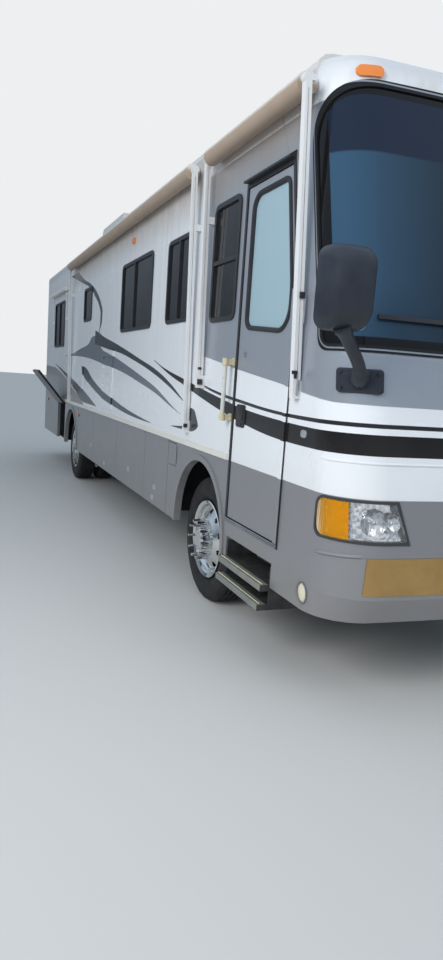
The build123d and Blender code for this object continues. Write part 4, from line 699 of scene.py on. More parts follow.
LENS = clear("lamp_lens", (0.93, 0.95, 0.97), 0.95, (0.0, 260.0))
AMBER_LENS = clear("amber_lens", (0.95, 0.50, 0.02), 0.7, (450.0, 300.0))
lamp_back = form("lamp_housings", both([housing, divider]), reflector())
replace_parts(lamp_back, "front_lamps")
form("lamp_reflectors", both([shape for place in BOWLS for shape in bowl(*place)]), reflector())
form("headlamp_lenses", both([clear_lens]), LENS)
form("turn_lenses", both([amber_lens]), AMBER_LENS)

# Lips moulded in the nose: the bumper's upper edge, from the corner to the trim panel, and the long
# crease under the black stripe. They are part of the same gelcoated skin.
LEDGE_IN, LEDGE_OUT, LEDGE_PROUD, LEDGE_HALF = 0.897, 0.872, 0.011, 0.012
CREASE_END, CREASE_PROUD, CREASE_LIP = -1.81, 0.006, 0.010
LIP_ROOT, LIP_FADE = 0.002, 0.06


def lip(u_start, u_end, z_start, z_end, proud, half, count=60):
    """A low rounded rib along the nose: a five-point section carried along u, lower towards both ends."""
    u = np.linspace(u_start, u_end, count)
    z = np.linspace(z_start, z_end, count)
    fade = np.clip(np.minimum(u - u_start, u_end - u) / LIP_FADE, 0.02, 1.0)
    section = ((-half, -LIP_ROOT), (-half * 0.6, proud * 0.5), (0.0, proud), (half * 0.9, proud * 0.3),
               (half, -LIP_ROOT))
    loops = [nose(u, z + dz, lift * np.where(lift > 0, fade, 1.0)) for dz, lift in section]
    return skin(np.stack(loops, 1), closed_rows=True, ends=True)


ledge_end = float(nose_u(NOSE_END, 0.88))
ledge_start = BOW * math.asin(0.985 / BOW) + 0.13
crease_end = float(nose_u(CREASE_END, CREASE))
ledge_lip = lip(ledge_start, ledge_end, LEDGE_IN, LEDGE_OUT, LEDGE_PROUD, LEDGE_HALF)
crease_lip = lip(-crease_end, crease_end, CREASE, CREASE, CREASE_PROUD, CREASE_LIP, 160)
form("nose_lips", both([ledge_lip]) + [crease_lip], PAINT)

# Docking lamps: round lamps recessed in the flanks, low down by the corners. Each has a domed lens of
# fluted plastic in a bright rim that is turned in one piece.
DOCK_STATION, DOCK_HEIGHT = -1.745, 0.612
DOCK_RIM = [(-0.03, 0.0637), (0.006, 0.0637), (0.006, 0.056), (-0.012, 0.052), (-0.03, 0.052)]
DOCK_LENS = [(-0.028, 0.004), (-0.028, 0.051), (-0.006, 0.051), (0.002, 0.034), (0.005, 0.004)]
dock_rim, dock_lens = (turned(profile, (-HALF, FRONT_AXLE + DOCK_STATION, DOCK_HEIGHT), (-1.0, 0.0, 0.0), 40)
                       for profile in (DOCK_RIM, DOCK_LENS))
form("dock_lamp_rims", both([dock_rim]), grained("dock_rim", (0.25, 0.25, 0.26), 0.3, metallic=0.8))
form("dock_lamp_lenses", both([dock_lens]), clear("dock_lens", (0.85, 0.80, 0.62), 0.25, (300.0, 0.0)))

# Mirrors: moulded black heads on thick cast arms that rise from a plate on each front corner, held
# to the body by four bolts.
MIRROR_X, MIRROR_Z, MIRROR_HALF_W, MIRROR_HALF_H = 1.440, 2.168, 0.123, 0.186
MIRROR_REAR = float(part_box("mirror_glass")[1][1])
MIRROR_FRONT = float(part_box("mirrors")[0][1])
CHIN_FROM, CHIN_DEEP = 0.09, 0.035
# share of the head's depth, inset and corner radius of each outline, from the glass forwards
HEAD_OUTLINES = ((0.03, 0.012, 0.05), (0.0, 0.006, 0.055), (0.02, 0.0, 0.06), (0.30, 0.0, 0.06),
                 (0.62, 0.006, 0.062), (0.84, 0.020, 0.066), (0.95, 0.040, 0.066), (0.985, 0.064, 0.055),
                 (1.0, 0.090, 0.030), (1.002, 0.115, 0.006))
STAND_TURN, STAND_HEIGHT, STAND_HALF_W, STAND_HALF_H = math.radians(31.0), 1.770, 0.115, 0.062
BOLT_ACROSS, BOLT_UP, BOLT_HEAD = 0.090, 0.040, [(0.0, 0.002), (0.0, 0.011), (0.006, 0.010), (0.008, 0.002)]
ARM_RADIUS, ARM_ROOT, ARM_HEAD = 0.031, 0.022, 0.012


def rounded(half_w, half_h, radius, steps=7):
    """Loop of a rectangle with round corners, as (across, up) pairs."""
    loop = []
    for n, (sx, sy) in enumerate(((1, 1), (-1, 1), (-1, -1), (1, -1))):
        turn = np.linspace(n, n + 1, steps) * math.pi / 2
        loop.append(np.stack([sx * (half_w - radius) + radius * np.cos(turn),
                              sy * (half_h - radius) + radius * np.sin(turn)], -1))
    return np.concatenate(loop)


def mirror_head():
    """Shell: rounded outlines drawn in as they go forward, with a chin that is cut back under the glass."""
    behind = MIRROR_REAR - 0.002
    loops = []
    for share, inset, radius in HEAD_OUTLINES:
        across, high = rounded(MIRROR_HALF_W - inset, MIRROR_HALF_H - inset, radius).T
        chin = np.clip(-high / CHIN_FROM - 1.0, 0.0, 1.0) * share * CHIN_DEEP
        y = behind - share * (behind - MIRROR_FRONT) + chin
        loops.append(np.stack([-MIRROR_X - across, y, MIRROR_Z + high], -1))
    return skin(np.array(loops), closed_rows=True, ends=True)


def tube(path, radii, sides=20):
    """Round bar along a path, its radius given at each point; rings stand square to the path."""
    path = np.array(path, float)
    ahead = np.gradient(path, axis=0)
    ahead = ahead / np.linalg.norm(ahead, axis=1)[:, None]
    side = np.cross(ahead, (0.13, 0.31, 0.94))
    side = side / np.linalg.norm(side, axis=1)[:, None]
    other = np.cross(ahead, side)
    angle = np.linspace(0.0, 2 * math.pi, sides, endpoint=False)
    ring = np.cos(angle)[None, :, None] * side[:, None] + np.sin(angle)[None, :, None] * other[:, None]
    return skin(path[:, None] + np.array(radii)[:, None, None] * ring, closed_rows=True, ends=True)


def bent(points, steps=10):
    """Smooth path through a few points: a quadratic curve by way of each middle point."""
    points = np.array(points, float)
    middles = np.concatenate([points[:1], (points[:-1] + points[1:]) / 2, points[-1:]])
    path = [points[0]]
    for start, via, end in zip(middles[:-1], points, middles[1:]):
        t = np.linspace(0.0, 1.0, steps)[1:, None]
        path.append((1 - t) ** 2 * start + 2 * t * (1 - t) * via + t ** 2 * end)
    return np.concatenate([np.atleast_2d(p) for p in path])


def mirror_stand():
    """Plate bent to the corner with four bolt heads, and the arm that leaves it and turns up.

    The arm's radius swells by a bell curve near its root and by a lower one at the head.
    """
    seat = BOW * TURN_IN + CORNER * STAND_TURN
    loops = []
    for lift, inset in ((-0.004, 0.0), (0.020, 0.0), (0.028, 0.004), (0.031, 0.012)):
        loop = rounded(STAND_HALF_W - inset, STAND_HALF_H - inset, 0.02)
        loops.append(nose(seat + loop[:, 0], STAND_HEIGHT + loop[:, 1], lift))
    shapes = [skin(np.array(loops), closed_rows=True, ends=True)]
    for across, high in ((-1, -1), (-1, 1), (1, -1), (1, 1)):
        under, over = (nose(seat + across * BOLT_ACROSS, STAND_HEIGHT + high * BOLT_UP, lift)
                       for lift in (0.030, 0.060))
        shapes.append(turned(BOLT_HEAD, under, over - under, 12))
    start, out = (nose(seat, STAND_HEIGHT + 0.012, lift) for lift in (0.01, 1.01))
    ahead = out - start
    elbow = start + ahead * 0.085 + (0.0, 0.0, 0.055)
    top = np.array((-MIRROR_X - 0.018, MIRROR_REAR - 0.085, MIRROR_Z - MIRROR_HALF_H + 0.02))
    path = bent([start, start + ahead * 0.07 + (0.0, 0.0, 0.012), elbow, (elbow + top) / 2, top])
    share = np.linspace(0.0, 1.0, len(path))
    swell = (ARM_ROOT * np.exp(-((share - 0.16) / 0.14) ** 2)
             + ARM_HEAD * np.exp(-((share - 0.97) / 0.12) ** 2))
    shapes.append(tube(path, ARM_RADIUS + swell))
    return shapes


MIRROR_BLACK = grained("mirror_shell", (0.011, 0.014, 0.022), 0.45, 700.0)
mirror_set = form("mirror_heads_and_arms", both([mirror_head(), *mirror_stand()]), MIRROR_BLACK)
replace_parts(mirror_set, "mirrors")

# Entry door: a rubber ring holds its window, and a black paddle latch with a recess sits at belt height
# below a small round lock. The ring is pressed over the cut edge of the leaf.
def plate(front, rear, low, top, radius, lift, bevel=0.003, x=-HALF, sink=0.002):
    """Flat plate on the kerb wall with rounded outline and a small bevel."""
    loops = []
    for inset, out in ((0.0, -sink), (0.0, lift - bevel), (bevel * 0.3, lift - bevel * 0.3), (bevel, lift)):
        loop = rounded((rear - front) / 2 - inset, (top - low) / 2 - inset, radius - inset)
        loops.append(np.stack([np.full(len(loop), x - out), FRONT_AXLE + (front + rear) / 2 + loop[:, 0],
                               (low + top) / 2 + loop[:, 1]], -1))
    return skin(np.array(loops), closed_rows=True, ends=True)


def filleted(corners, radii, inset=0.0, steps=10):
    """Loop round a convex outline, moved in by inset: each corner becomes an arc of its own radius.

    At a corner where the outline turns by an angle f, the arc starts radius * tan(f / 2) before the corner.
    """
    corners = np.array(corners, float)
    along = np.roll(corners, -1, 0) - corners
    along = along / np.linalg.norm(along, axis=1)[:, None]
    before = np.roll(along, 1, 0)
    loop = []
    for corner, a, b, radius in zip(corners, before, along, radii):
        bend = math.atan2(a[0] * b[1] - a[1] * b[0], a @ b)
        inward = np.array((-a[1], a[0]))
        centre = corner - a * radius * math.tan(bend / 2) + inward * radius
        turn = np.linspace(0.0, bend, steps)
        arm = -inward * max(radius - inset, 0.001)
        loop.append(centre + np.stack([np.cos(turn) * arm[0] - np.sin(turn) * arm[1],
                                       np.sin(turn) * arm[0] + np.cos(turn) * arm[1]], -1))
    return np.concatenate(loop)


DOOR_REAR, DOOR_FRONT, DOOR_KINK, DOOR_TOP, DOOR_LEAN = -0.726, -1.332, 2.280, 2.888, 0.150 / 0.708
DOOR_HEAD_FRONT = DOOR_FRONT + DOOR_LEAN * (DOOR_TOP - DOOR_KINK)
LIGHT = [(DOOR_REAR, 2.082), (DOOR_REAR, DOOR_TOP), (DOOR_HEAD_FRONT, DOOR_TOP), (DOOR_FRONT, DOOR_KINK),
         (DOOR_FRONT, 2.034)]
LIGHT_RADII = (0.060, 0.095, 0.055, 0.420, 0.130)
# section of the rubber ring as (inset from the opening, lift off the leaf)
RING = ((-0.022, -0.001), (-0.022, 0.008), (-0.017, 0.013), (-0.008, 0.014), (0.002, 0.011), (0.007, 0.002),
        (0.008, -0.008), (0.0, -0.009), (-0.012, -0.001))
LATCH = ((-0.805, -0.665, 1.425, 1.575, 0.020, 0.008), (-0.790, -0.700, 1.470, 1.555, 0.015, 0.017),
         (-0.765, -0.745, 1.435, 1.455, 0.009, 0.012))
LOCK = [(-0.002, 0.001), (-0.002, 0.021), (0.006, 0.021), (0.009, 0.014), (0.006, 0.010), (0.006, 0.001)]
LOCK_STATION, LOCK_HEIGHT = -0.735, 1.905

loops = []
for inset, lift in RING:
    along, high = filleted(LIGHT, LIGHT_RADII, inset).T
    loops.append(np.stack([np.full(len(along), -HALF - lift), FRONT_AXLE + along, high], -1))
form("door_window_seal", [skin(np.array(loops), closed_rows=True, looped=True)], RUBBER, "entry_door_body")
form("door_latch", [plate(*part) for part in LATCH], BLACK, "entry_door_body")
lock = turned(LOCK, (-HALF, FRONT_AXLE + LOCK_STATION, LOCK_HEIGHT), (-1.0, 0.0, 0.0), 24)
form("door_lock", [lock], grained("lock_steel", (0.35, 0.35, 0.36), 0.3, metallic=0.9), "entry_door_body")

# Door sill: an extruded aluminium threshold screwed under the leaf. Its bright ribs stand out of the
# black frame round the doorway.
SILL_FRONT, SILL_REAR, SILL_PROUD, RIB_TALL, RIB_OUT = -1.405, -0.593, 0.006, 0.0045, 0.004
RIB_HEIGHTS = (0.768, 0.777, 0.786)


def bar(front, rear, low, top, out, x=-HALF, sink=0.001):
    """Long moulding on the kerb wall: half an ellipse as its section, drawn from front to rear."""
    turn = np.linspace(0.0, math.pi, 7)
    across = x + sink - (out + sink) * np.sin(turn)
    high = (low + top) / 2 + (top - low) / 2 * np.cos(turn)
    ends = [np.stack([across, np.full(len(turn), FRONT_AXLE + d), high], -1) for d in (front, rear)]
    return skin(np.array(ends), closed_rows=True, ends=True)


SATIN = grained("satin_aluminium", (0.42, 0.43, 0.45), 0.35, 300.0, 0.2, 0.7)
form("door_sill_ribs", [bar(SILL_FRONT, SILL_REAR, z, z + RIB_TALL, RIB_OUT, -HALF - SILL_PROUD)
                        for z in RIB_HEIGHTS], SATIN)

# Bay latches: a small satin paddle in a round-cornered dish, pressed into each lower door near its lower
# edge. The first door is wide and has two.
BAY_LATCHES = {4: [(4.38, 0.723)], 3: [(3.49, 0.599)], 2: [(2.25, 0.706)], 1: [(1.22, 0.686), (1.27, 0.582)]}


def paddle(d, z):
    """A low dish and a smaller, prouder paddle about one middle."""
    return [plate(d - half_w, d + half_w, z - half_h, z + half_h, radius, lift)
            for half_w, half_h, radius, lift in ((0.034, 0.026, 0.010, 0.0035), (0.020, 0.014, 0.008, 0.008))]


for bay, spots in BAY_LATCHES.items():
    paddles = [shape for spot in spots for shape in paddle(*spot)]
    form(f"bay_latches_kerb_{bay}", paddles, SATIN, f"bay_kerb_{bay}")
    form(f"bay_latches_driver_{bay}", [mirrored(shape) for shape in paddles], SATIN, f"bay_driver_{bay}")

# Side markers ahead of the rear wheels: a small orange lens that clips on a black base, which is screwed
# to the skirt.
MARKER_BASE = plate(5.385, 5.475, 1.035, 1.075, 0.012, 0.006)
MARKER_LENS = plate(5.392, 5.468, 1.040, 1.070, 0.010, 0.016, 0.006, sink=-0.005)
form("marker_bases", both([MARKER_BASE]), BLACK)
form("marker_lenses", both([MARKER_LENS]), grained("marker_orange", (0.75, 0.14, 0.04), 0.25))

# Badge: a small blank plate of satin metal, stuck on the black stripe where the cap turns into the
# flank. It carries no words.
form("nose_badge", [plate(-1.652, -1.584, 1.447, 1.489, 0.020, 0.0035, 0.002)], SATIN)


# Bright metal: the rub rails and the ladder are drawn aluminium, the wheels and the front trim panel
# are polished and plated.
def bright(name, color, roughness=0.22, brushed=0.0, direction=(1.0, 0.02, 1.0)):
    """Bare metal: dull clouds, and fine lines that run along the axis with the small scale."""
    metal = Finish(name, metallic=1.0)
    spot = metal.spot()
    cloud = metal.noise(spot, 8.0, 5.0)
    line = metal.noise(metal.stretch(spot, direction), 500.0, 2.0)
    dull = tuple(v * 0.6 for v in color)
    metal.set(base_color=metal.mix(cloud.over(0.55, 0.5) * 0.5, color, dull),
              roughness=line * brushed + cloud * 0.1 + (roughness - 0.05))
    metal.bump(line, 0.1, 0.0003)
    return metal.material


RAIL = bright("drawn_aluminium", (0.78, 0.79, 0.80), 0.3, 0.12)
CHROME = bright("chrome", (0.80, 0.80, 0.79), 0.1)
wear("rub_rails", chalky("rub_rail", (0.74, 0.71, 0.66), 0.35))
wear("ladder", RAIL)
wear("front_trim", bright("bronze_trim", (0.66, 0.41, 0.16), 0.3, 0.1, (1.0, 1.0, 0.02)))
wear("mirror_glass", bright("mirror_glass", (0.85, 0.87, 0.90), 0.06))
for side in ("kerb", "driver"):
    wear(f"front_rim_{side}", CHROME)
    wear(f"rear_rims_{side}", CHROME)

# Tyres and running gear: black rubber with road dust, and black-painted steel with surface rust. A tyre
# is moulded with ribs on its walls and grooves round its tread, and twin rear tyres share one wheel.
def worn_black(name, color, stain_and_shade, amount, roughness=0.6):
    """Dark surface with stained patches and a fine rough tooth."""
    surface = Finish(name)
    spot = surface.spot()
    patch = surface.noise(spot, 12.0, 6.0)
    fine = surface.noise(spot, 150.0, 3.0)
    surface.set(base_color=surface.mix(patch.over(0.5, 0.25) * amount, color, stain_and_shade),
                roughness=fine * 0.2 + roughness)
    surface.bump(fine, 0.4, 0.0015)
    return surface.material


TYRE = worn_black("tyre_rubber", (0.010, 0.010, 0.011), (0.05, 0.043, 0.036), 0.35, 0.65)
STEEL = worn_black("chassis_black", (0.018, 0.018, 0.02), (0.06, 0.038, 0.028), 0.4, 0.55)
TYRE_HALF, TWIN_SPACING = 0.1275, 0.325
# wall from the bead to the tread, as (inwards from the side of the tyre, radius)
TYRE_WALL = ((0.0383, 0.2863), (0.0383, 0.306), (0.030, 0.316), (0.012, 0.330), (0.010, 0.338),
             (0.006, 0.344), (0.002, 0.372), (0.0, 0.378), (0.0, 0.384), (0.001, 0.388), (0.001, 0.418),
             (0.004, 0.438), (0.004, 0.446), (0.012, 0.462), (0.024, 0.476), (0.036, 0.4815), (0.048, 0.483))
GROOVES, GROOVE_HALF, FLOOR_HALF = (0.062, 0.021, -0.021, -0.062), 0.0065, 0.004
TREAD_RADIUS, GROOVE_FLOOR = 0.4845, 0.472


def tyre(centre):
    """Tyre turned about its axle: beads, ribbed sidewalls, round shoulders and a tread with four grooves."""
    wall = [(TYRE_HALF - inwards, radius) for inwards, radius in TYRE_WALL]
    tread = []
    for groove in GROOVES:
        tread += [(groove + GROOVE_HALF, TREAD_RADIUS), (groove + FLOOR_HALF, GROOVE_FLOOR),
                  (groove - FLOOR_HALF, GROOVE_FLOOR), (groove - GROOVE_HALF, TREAD_RADIUS)]
    profile = wall + tread + [(-out, radius) for out, radius in wall[::-1]]
    return turned(profile, centre, (1.0, 0.0, 0.0), 96, looped=True)


for side, out in (("kerb", -1.0), ("driver", 1.0)):
    for node, name, body, count in ((f"front_tyre_{side}", f"front_tread_{side}", f"front_wheel_{side}", 1),
                                    (f"rear_tyres_{side}", f"rear_treads_{side}", f"rear_wheels_{side}", 2)):
        low, high = np.array(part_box(node))
        hub = (low + high) / 2
        hub[0] = out * (np.abs((low[0], high[0])).max() - TYRE_HALF)
        treads = [tyre(hub - (out * TWIN_SPACING * n, 0.0, 0.0)) for n in range(count)]
        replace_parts(form(name, treads, TYRE, body), node)
    wear(f"knuckle_{side}", STEEL)
for name in ("front_axle", "rear_axle", "chassis_frame", "engine", "fuel_tank", "tow_hitch"):
    wear(name, STEEL)
wear("bay_boxes", worn_black("bay_lining", (0.010, 0.012, 0.016), (0.03, 0.028, 0.026), 0.4, 0.7))
wear("floor", worn_black("floor_board", (0.10, 0.085, 0.07), (0.2, 0.17, 0.13), 0.5, 0.6))

# Entry step: black treads with a strip of ribbed aluminium over the outer edge of each, and a thin worn
# yellow line along its lip.
STEP_FRONT, STEP_REAR, LIP_SHORT = -1.338, -0.650, 0.004
# reach from the centre line and height of each tread
TREADS = ((1.338, 0.528), (1.350, 0.408))
NOSING_WIDE, NOSING_TALL, NOSING_LIFT, RIB = 0.055, 0.036, 0.0012, 0.0012
LIP_LOW, LIP_TOP, LIP_OUT, LIP_IN = 0.0035, 0.0075, 0.0035, 0.017


def nosing(out, top):
    """Strip that wraps the outer upper edge of a tread: a flat top band and a face band, both ribbed."""
    inwards, down = np.linspace(NOSING_WIDE, 0.0, 9), np.linspace(0.002, NOSING_TALL, 7)
    lifts = NOSING_LIFT + RIB * (np.arange(9) % 2)
    profile = [(-out + v, top + lift) for v, lift in zip(inwards, lifts)]
    profile += [(-out - lift, top - v) for v, lift in zip(down, lifts)]
    profile += [(-out + 0.001, top - NOSING_TALL), (-out + 0.001, top - 0.001),
                (-out + NOSING_WIDE, top - 0.0005)]
    rows = [[(x, FRONT_AXLE + d, z) for x, z in profile] for d in (STEP_FRONT, STEP_REAR)]
    return skin(np.array(rows), closed_rows=True, ends=True)


wear("entry_step", worn_black("step_tread", (0.022, 0.023, 0.025), (0.09, 0.08, 0.065), 0.4, 0.5))
form("step_nosings", [nosing(out, top) for out, top in TREADS],
     worn_black("nosing", (0.17, 0.175, 0.175), (0.26, 0.25, 0.20), 0.5, 0.4), "entry_step_body")
form("step_lips", [bar(STEP_FRONT + LIP_SHORT, STEP_REAR - LIP_SHORT, top + LIP_LOW, top + LIP_TOP, LIP_OUT,
                       LIP_IN - out) for out, top in TREADS],
     grained("step_lip", (0.62, 0.62, 0.36), 0.4), "entry_step_body")

# Awnings: white painted arms of extruded aluminium, and woven cloth that is wound round each roll. Under a
# set height the cloth is tan, painted shade on the roll's underside, with clouds of dirt.
CLOTH_SHADE_EDGE, ROLL_LOW = 3.318, 3.15


def rolled_cloth():
    """Woven cloth, white and chalked on top, tan underneath with painted shade and dirt."""
    cloth = Finish("awning_cloth")
    spot, x, y, z = cloth.place()
    cloud = cloth.noise(spot, 5.0, 5.0)
    # painted shade: the roll's underside, below a set height, is tan and darker
    under = (z + cloud * 0.02).under(CLOTH_SHADE_EDGE, 0.03) * z.over(ROLL_LOW)
    threads = (y * 2600.0).sin() + cloth.noise(spot, 600.0, 2.0)
    white = cloth.mix(cloud * 0.35, (0.74, 0.73, 0.71), (0.50, 0.45, 0.38))
    tan = cloth.mix(cloud * 0.5, (0.45, 0.35, 0.27), (0.30, 0.22, 0.165))
    cloth.set(base_color=cloth.mix(under, white, tan), roughness=cloud * 0.2 + 0.6)
    cloth.bump(threads, 0.15, 0.0006)
    return cloth.material


wear("awning_arms", chalky("awning_arm", (0.74, 0.745, 0.75), 0.2))
wear("awning_rolls", rolled_cloth())

# Grab handle: a clear ribbed tube between two cream cast brackets, which are screwed to the wall behind
# the entry door.
TUBE_LOW, TUBE_TOP = 1.507, 1.818


def handle_plastic():
    """Cream above and below, and clear with fine rings between the two heights of the tube's ends."""
    plastic = Finish("grab_handle", transmission_weight=0.15, ior=1.4)
    spot, x, y, z = plastic.place()
    clear_part = z.over(TUBE_LOW) * z.under(TUBE_TOP)
    cloud = plastic.noise(spot, 20.0, 3.0)
    cream = plastic.mix(cloud * 0.4, (0.70, 0.63, 0.42), (0.58, 0.50, 0.32))
    plastic.set(base_color=plastic.mix(clear_part, cream, (0.66, 0.66, 0.62)), roughness=cloud * 0.2 + 0.2)
    plastic.bump((z * 450.0).sin() * clear_part + cloud * 0.3, 0.3, 0.001)
    return plastic.material


wear("grab_handle", handle_plastic())

# Arm fittings: black plastic latches and clips, moulded to sit across the arms' channels, and bright
# steel rods that a hand pulls to free an arm.
CAB_ARM, FRONT_ARM, WINDOW_ARM, ARM_FACE = -1.522, 0.032, 0.322, 0.022
# each fitting's arm, its middle across and in height, and its size across, along and in height
FITTINGS = ((CAB_ARM, -1.326, 2.205, (0.030, 0.014, 0.034)), (CAB_ARM, -1.332, 1.795, (0.034, 0.008, 0.020)),
            (CAB_ARM, -1.326, 1.778, (0.016, 0.009, 0.030)),
            (FRONT_ARM, -1.331, 1.800, (0.030, 0.008, 0.018)),
            (FRONT_ARM, -1.325, 1.700, (0.040, 0.012, 0.042)),
            (WINDOW_ARM, -1.322, 1.345, (0.030, 0.010, 0.030)))
# each rod's place along the coach, its ends in height, its radius and its number of sides
RODS, ROD_ACROSS = ((-1.550, 2.06, 2.19, 0.005, 10), (-1.544, 1.67, 1.755, 0.009, 12)), -1.306


def block(centre, size, bevel=0.002):
    """Small block with bevelled edges."""
    x, y, z = np.array(size) / 2
    loops = [np.stack([loop[:, 0], loop[:, 1], np.full(len(loop), h)], -1)
             for inset, h in ((bevel, -z), (0.0, -z + bevel), (0.0, z - bevel), (bevel, z))
             for loop in [rounded(x - inset, y - inset, bevel * 1.5, 3)]]
    return skin(np.array(loops) + centre, closed_rows=True, ends=True)


def on_arm(arm, across, high, size):
    """A fitting that stands on the front face of an arm and is let 1 mm into it."""
    return block(np.array((across, FRONT_AXLE + arm - ARM_FACE - size[1] / 2 + 0.001, high)), size)


form("arm_latches", [on_arm(*fitting) for fitting in FITTINGS], BLACK)
form("arm_rods", [tube([(ROD_ACROSS, FRONT_AXLE + d, z) for z in (foot, head)], (radius, radius), sides)
                  for d, foot, head, radius, sides in RODS], SATIN)

# Air conditioners: two moulded shells on the roof. Each has a panel of black louvres in its front end
# and one in its rear end, where the ends lean inwards.
UNITS, UNIT_HALF, UNIT_FOOT, END_LEAN = (1.5, 5.9), 0.49, 3.48, math.radians(9.0)
LOUVRE_LOW, LOUVRE_STEP, LOUVRES, LOUVRE = 3.585, 0.020, 6, (0.48, 0.010, 0.009)


def louvres(unit):
    """Bars one above another, set in by height * tan(lean) so that they follow the leaning ends."""
    slats = []
    for outwards in (-1.0, 1.0):
        for n in range(LOUVRES):
            z = LOUVRE_LOW + LOUVRE_STEP * n
            reach = UNIT_HALF - (z - UNIT_FOOT) * math.tan(END_LEAN) + 0.001
            slats.append(block(np.array((0.0, FRONT_AXLE + unit + outwards * reach, z)), LOUVRE))
    return slats


form("roof_louvres", [slat for unit in UNITS for slat in louvres(unit)], BLACK)


# Clearance and tail lamps: one-piece lenses of amber and of red plastic, moulded with fine flutes and
# glossy outside.
def lamp_plastic(name, color):
    """Coloured plastic with darker clouds and level flutes, a sine of the height."""
    pane = Finish(name, color, 0.12, coat_weight=0.6)
    spot, x, y, z = pane.place()
    pane.set(base_color=pane.mix(pane.noise(spot, 30.0) * 0.3, color, tuple(v * 0.6 for v in color)))
    pane.bump((z * 520.0).sin(), 0.2, 0.0006)
    return pane.material


wear("amber_lamps", lamp_plastic("lamp_amber", (0.80, 0.22, 0.02)))
wear("red_lamps", lamp_plastic("lamp_red", (0.45, 0.012, 0.012)))

# Dashboard: one moulding of dark grained plastic under the windscreen, with the steering wheel and its
# column, seen only through the glass.
wear("dashboard", grained("dash_plastic", (0.10, 0.10, 0.105), 0.6, 300.0))

# Cab seats: two high-backed armchairs in beige cloth, each a crowned cushion and back on a plain base, with
# a sewn channel across the middle of each.
SEATS, SEAT_CLOTH = ((0.62, -1.06), (-0.36, -0.82)), (0.26, 0.22, 0.18)
CUSHION, CUSHION_HEIGHT, CUSHION_CHANNEL = (0.50, 0.50, 0.15), 0.34, 0.35
BACK, BACK_BEHIND, BACK_HEIGHT, BACK_LEAN, BACK_CHANNEL = (0.47, 0.74, 0.125), 0.255, 0.79, 81.0, -0.3
SEAT_BASE = [(0.0, 0.02), (0.0, 0.17), (0.03, 0.17), (0.06, 0.12), (0.20, 0.12), (0.265, 0.17), (0.275, 0.02)]


def cushion(centre, size, lean, channel, steps=26):
    """Crowned pad: a rounded block whose faces swell by a share of cos * cos, and pull in along a channel.

    A grid on each face of a cube is pushed outwards onto a superellipsoid of power 5, then scaled to size
    and turned by lean about the axis across the coach.
    """
    t = np.linspace(-1.0, 1.0, steps)
    a, b = np.meshgrid(t, t, indexing="ij")
    sides = [np.stack([np.full_like(a, sign), a, b], -1)[..., np.roll((0, 1, 2), axis)]
             for axis in range(3) for sign in (-1.0, 1.0)]
    cube = np.concatenate(sides).reshape(-1, 3)
    # the sides share the points of their borders, numbered in the order in which they first come
    _, first, number = np.unique(np.round(cube, 5) + 0.0, axis=0, return_index=True, return_inverse=True)
    number = np.argsort(np.argsort(first))[number.ravel()].reshape(6, steps, steps)
    cube = cube[np.sort(first)]
    faces = [face[::-1] if n % 2 == 0 else face for n in range(6) for face in quads(number[n])]
    x, y, z = (cube / (np.abs(cube) ** 5.0).sum(1)[:, None] ** 0.2).T
    swell = 1.0 + 0.10 * np.cos(cube[:, 0] * 1.4) * np.cos(cube[:, 1] * 1.4)
    groove = 1.0 - 0.10 * np.exp(-((y - channel) / 0.05) ** 2)
    x, y, z = np.array((x, y, z * swell * groove)) * np.array(size)[:, None] / 2
    turn = math.radians(lean)
    y, z = y * math.cos(turn) - z * math.sin(turn), y * math.sin(turn) + z * math.cos(turn)
    return np.stack([x, y, z], -1) + centre, faces


deck = float(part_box("seats")[0][2])
pads, bases = [], []
for x, d in SEATS:
    y = FRONT_AXLE + d
    pads += [cushion(np.array((x, y - 0.01, deck + CUSHION_HEIGHT)), CUSHION, 0.0, CUSHION_CHANNEL),
             cushion(np.array((x, y + BACK_BEHIND, deck + BACK_HEIGHT)), BACK, BACK_LEAN, BACK_CHANNEL)]
    bases.append(turned(SEAT_BASE, (x, y, deck), (0.0, 0.0, 1.0), 24))
seat_pads = form("seat_cushions", pads, worn_black("seat_cloth", SEAT_CLOTH, (0.33, 0.29, 0.24), 0.6, 0.85),
                 sharp=60.0)
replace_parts(seat_pads, "seats")
form("seat_bases", bases, BLACK)

# Ground and sky: a pale level floor under a pale sky. What lights the coach is bluer than what the camera
# sees, and what shiny surfaces mirror is dim at eye level and brightens overhead.
GROUND_HALF = 150.0
SKY_SEEN, SKY_LIGHT = ((0.90, 0.91, 0.92, 1.0), 0.95), ((0.74, 0.87, 1.0, 1.0), 0.66)
SURROUND = ((0.04, (0.11, 0.13, 0.15)), (0.55, (0.62, 0.76, 0.92)))

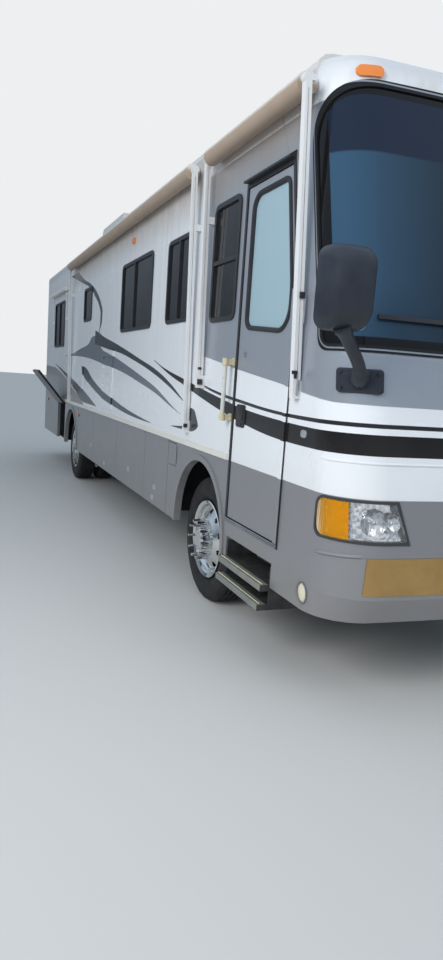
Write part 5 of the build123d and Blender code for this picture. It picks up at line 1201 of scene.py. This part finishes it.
corners = [(x * GROUND_HALF, y * GROUND_HALF, 0.0) for x, y in ((-1, -1), (1, -1), (1, 1), (-1, 1))]
grid = bpy.data.meshes.new("ground")
grid.from_pydata(corners, [], [(0, 1, 2, 3)])
grid.materials.append(Finish("pale_ground", (0.62, 0.61, 0.59), 0.9).material)
ground = bpy.data.objects.new("ground", grid)
bpy.context.scene.collection.objects.link(ground)
ground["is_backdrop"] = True


class Sky(Finish):
    """The world's tree, made with the same node method as a material's."""

    def __init__(self, name):
        world = bpy.data.worlds.new(name)
        bpy.context.scene.world = world
        world.use_nodes = True
        self.tree = world.node_tree
        self.tree.nodes.clear()

    def glow(self, color, strength):
        return self.wire(self.node("ShaderNodeBackground", color=color, strength=strength))

    def choose(self, share, first, second):
        return self.wire(self.node("ShaderNodeMixShader", i0=share, i1=first, i2=second))


sky = Sky("plain_sky")
ray = sky.node("ShaderNodeLightPath")
direction = sky.wire(sky.node("ShaderNodeTexCoord"), "Generated")
upward = sky.wire(sky.node("ShaderNodeSeparateXYZ", i0=direction), "Z")
mirrored_sky = sky.wire(sky.node("ShaderNodeValToRGB", {"stops": SURROUND}, i0=upward))
unseen = sky.choose(sky.wire(ray, "Is Glossy Ray"), sky.glow(*SKY_LIGHT), sky.glow(mirrored_sky, 1.0))
looked_at = sky.wire(ray, "Is Camera Ray").high(sky.wire(ray, "Is Transmission Ray"))
sky.node("ShaderNodeOutputWorld", i0=sky.choose(looked_at, unseen, sky.glow(*SKY_SEEN)))

# Lamps: one broad soft key lamp high in front, and a smaller one with a narrower beam that picks out the
# kerb flank and the nose's corner. Neither shows in what shiny surfaces mirror.
KEY = ("key", (2.0, -16.0, 12.0), (0.0, -4.0, 1.5), 9.0, 380.0, math.pi)
FLANK = ("flank", (-8.0, -8.6, 5.0), (-1.25, -4.6, 1.6), 4.0, 190.0, 1.9)


def shine(name, place, aim, size, power, spread):
    """Square lamp at a place, its face square to the line to its aim."""
    lamp = bpy.data.lights.new(name, "AREA")
    lamp.size, lamp.energy, lamp.spread = size, power, spread
    holder = bpy.data.objects.new(name, lamp)
    holder.visible_glossy = False
    bpy.context.scene.collection.objects.link(holder)
    ahead = np.array(aim) - np.array(place)
    ahead = ahead / np.linalg.norm(ahead)
    right = np.cross(ahead, (0.0, 0.0, 1.0))
    right = right / np.linalg.norm(right)
    stand(holder, right, np.cross(right, ahead), ahead, place)


for lamp in (KEY, FLANK):
    shine(*lamp)

bpy.context.scene.view_settings.view_transform = "Standard"
low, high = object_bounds()
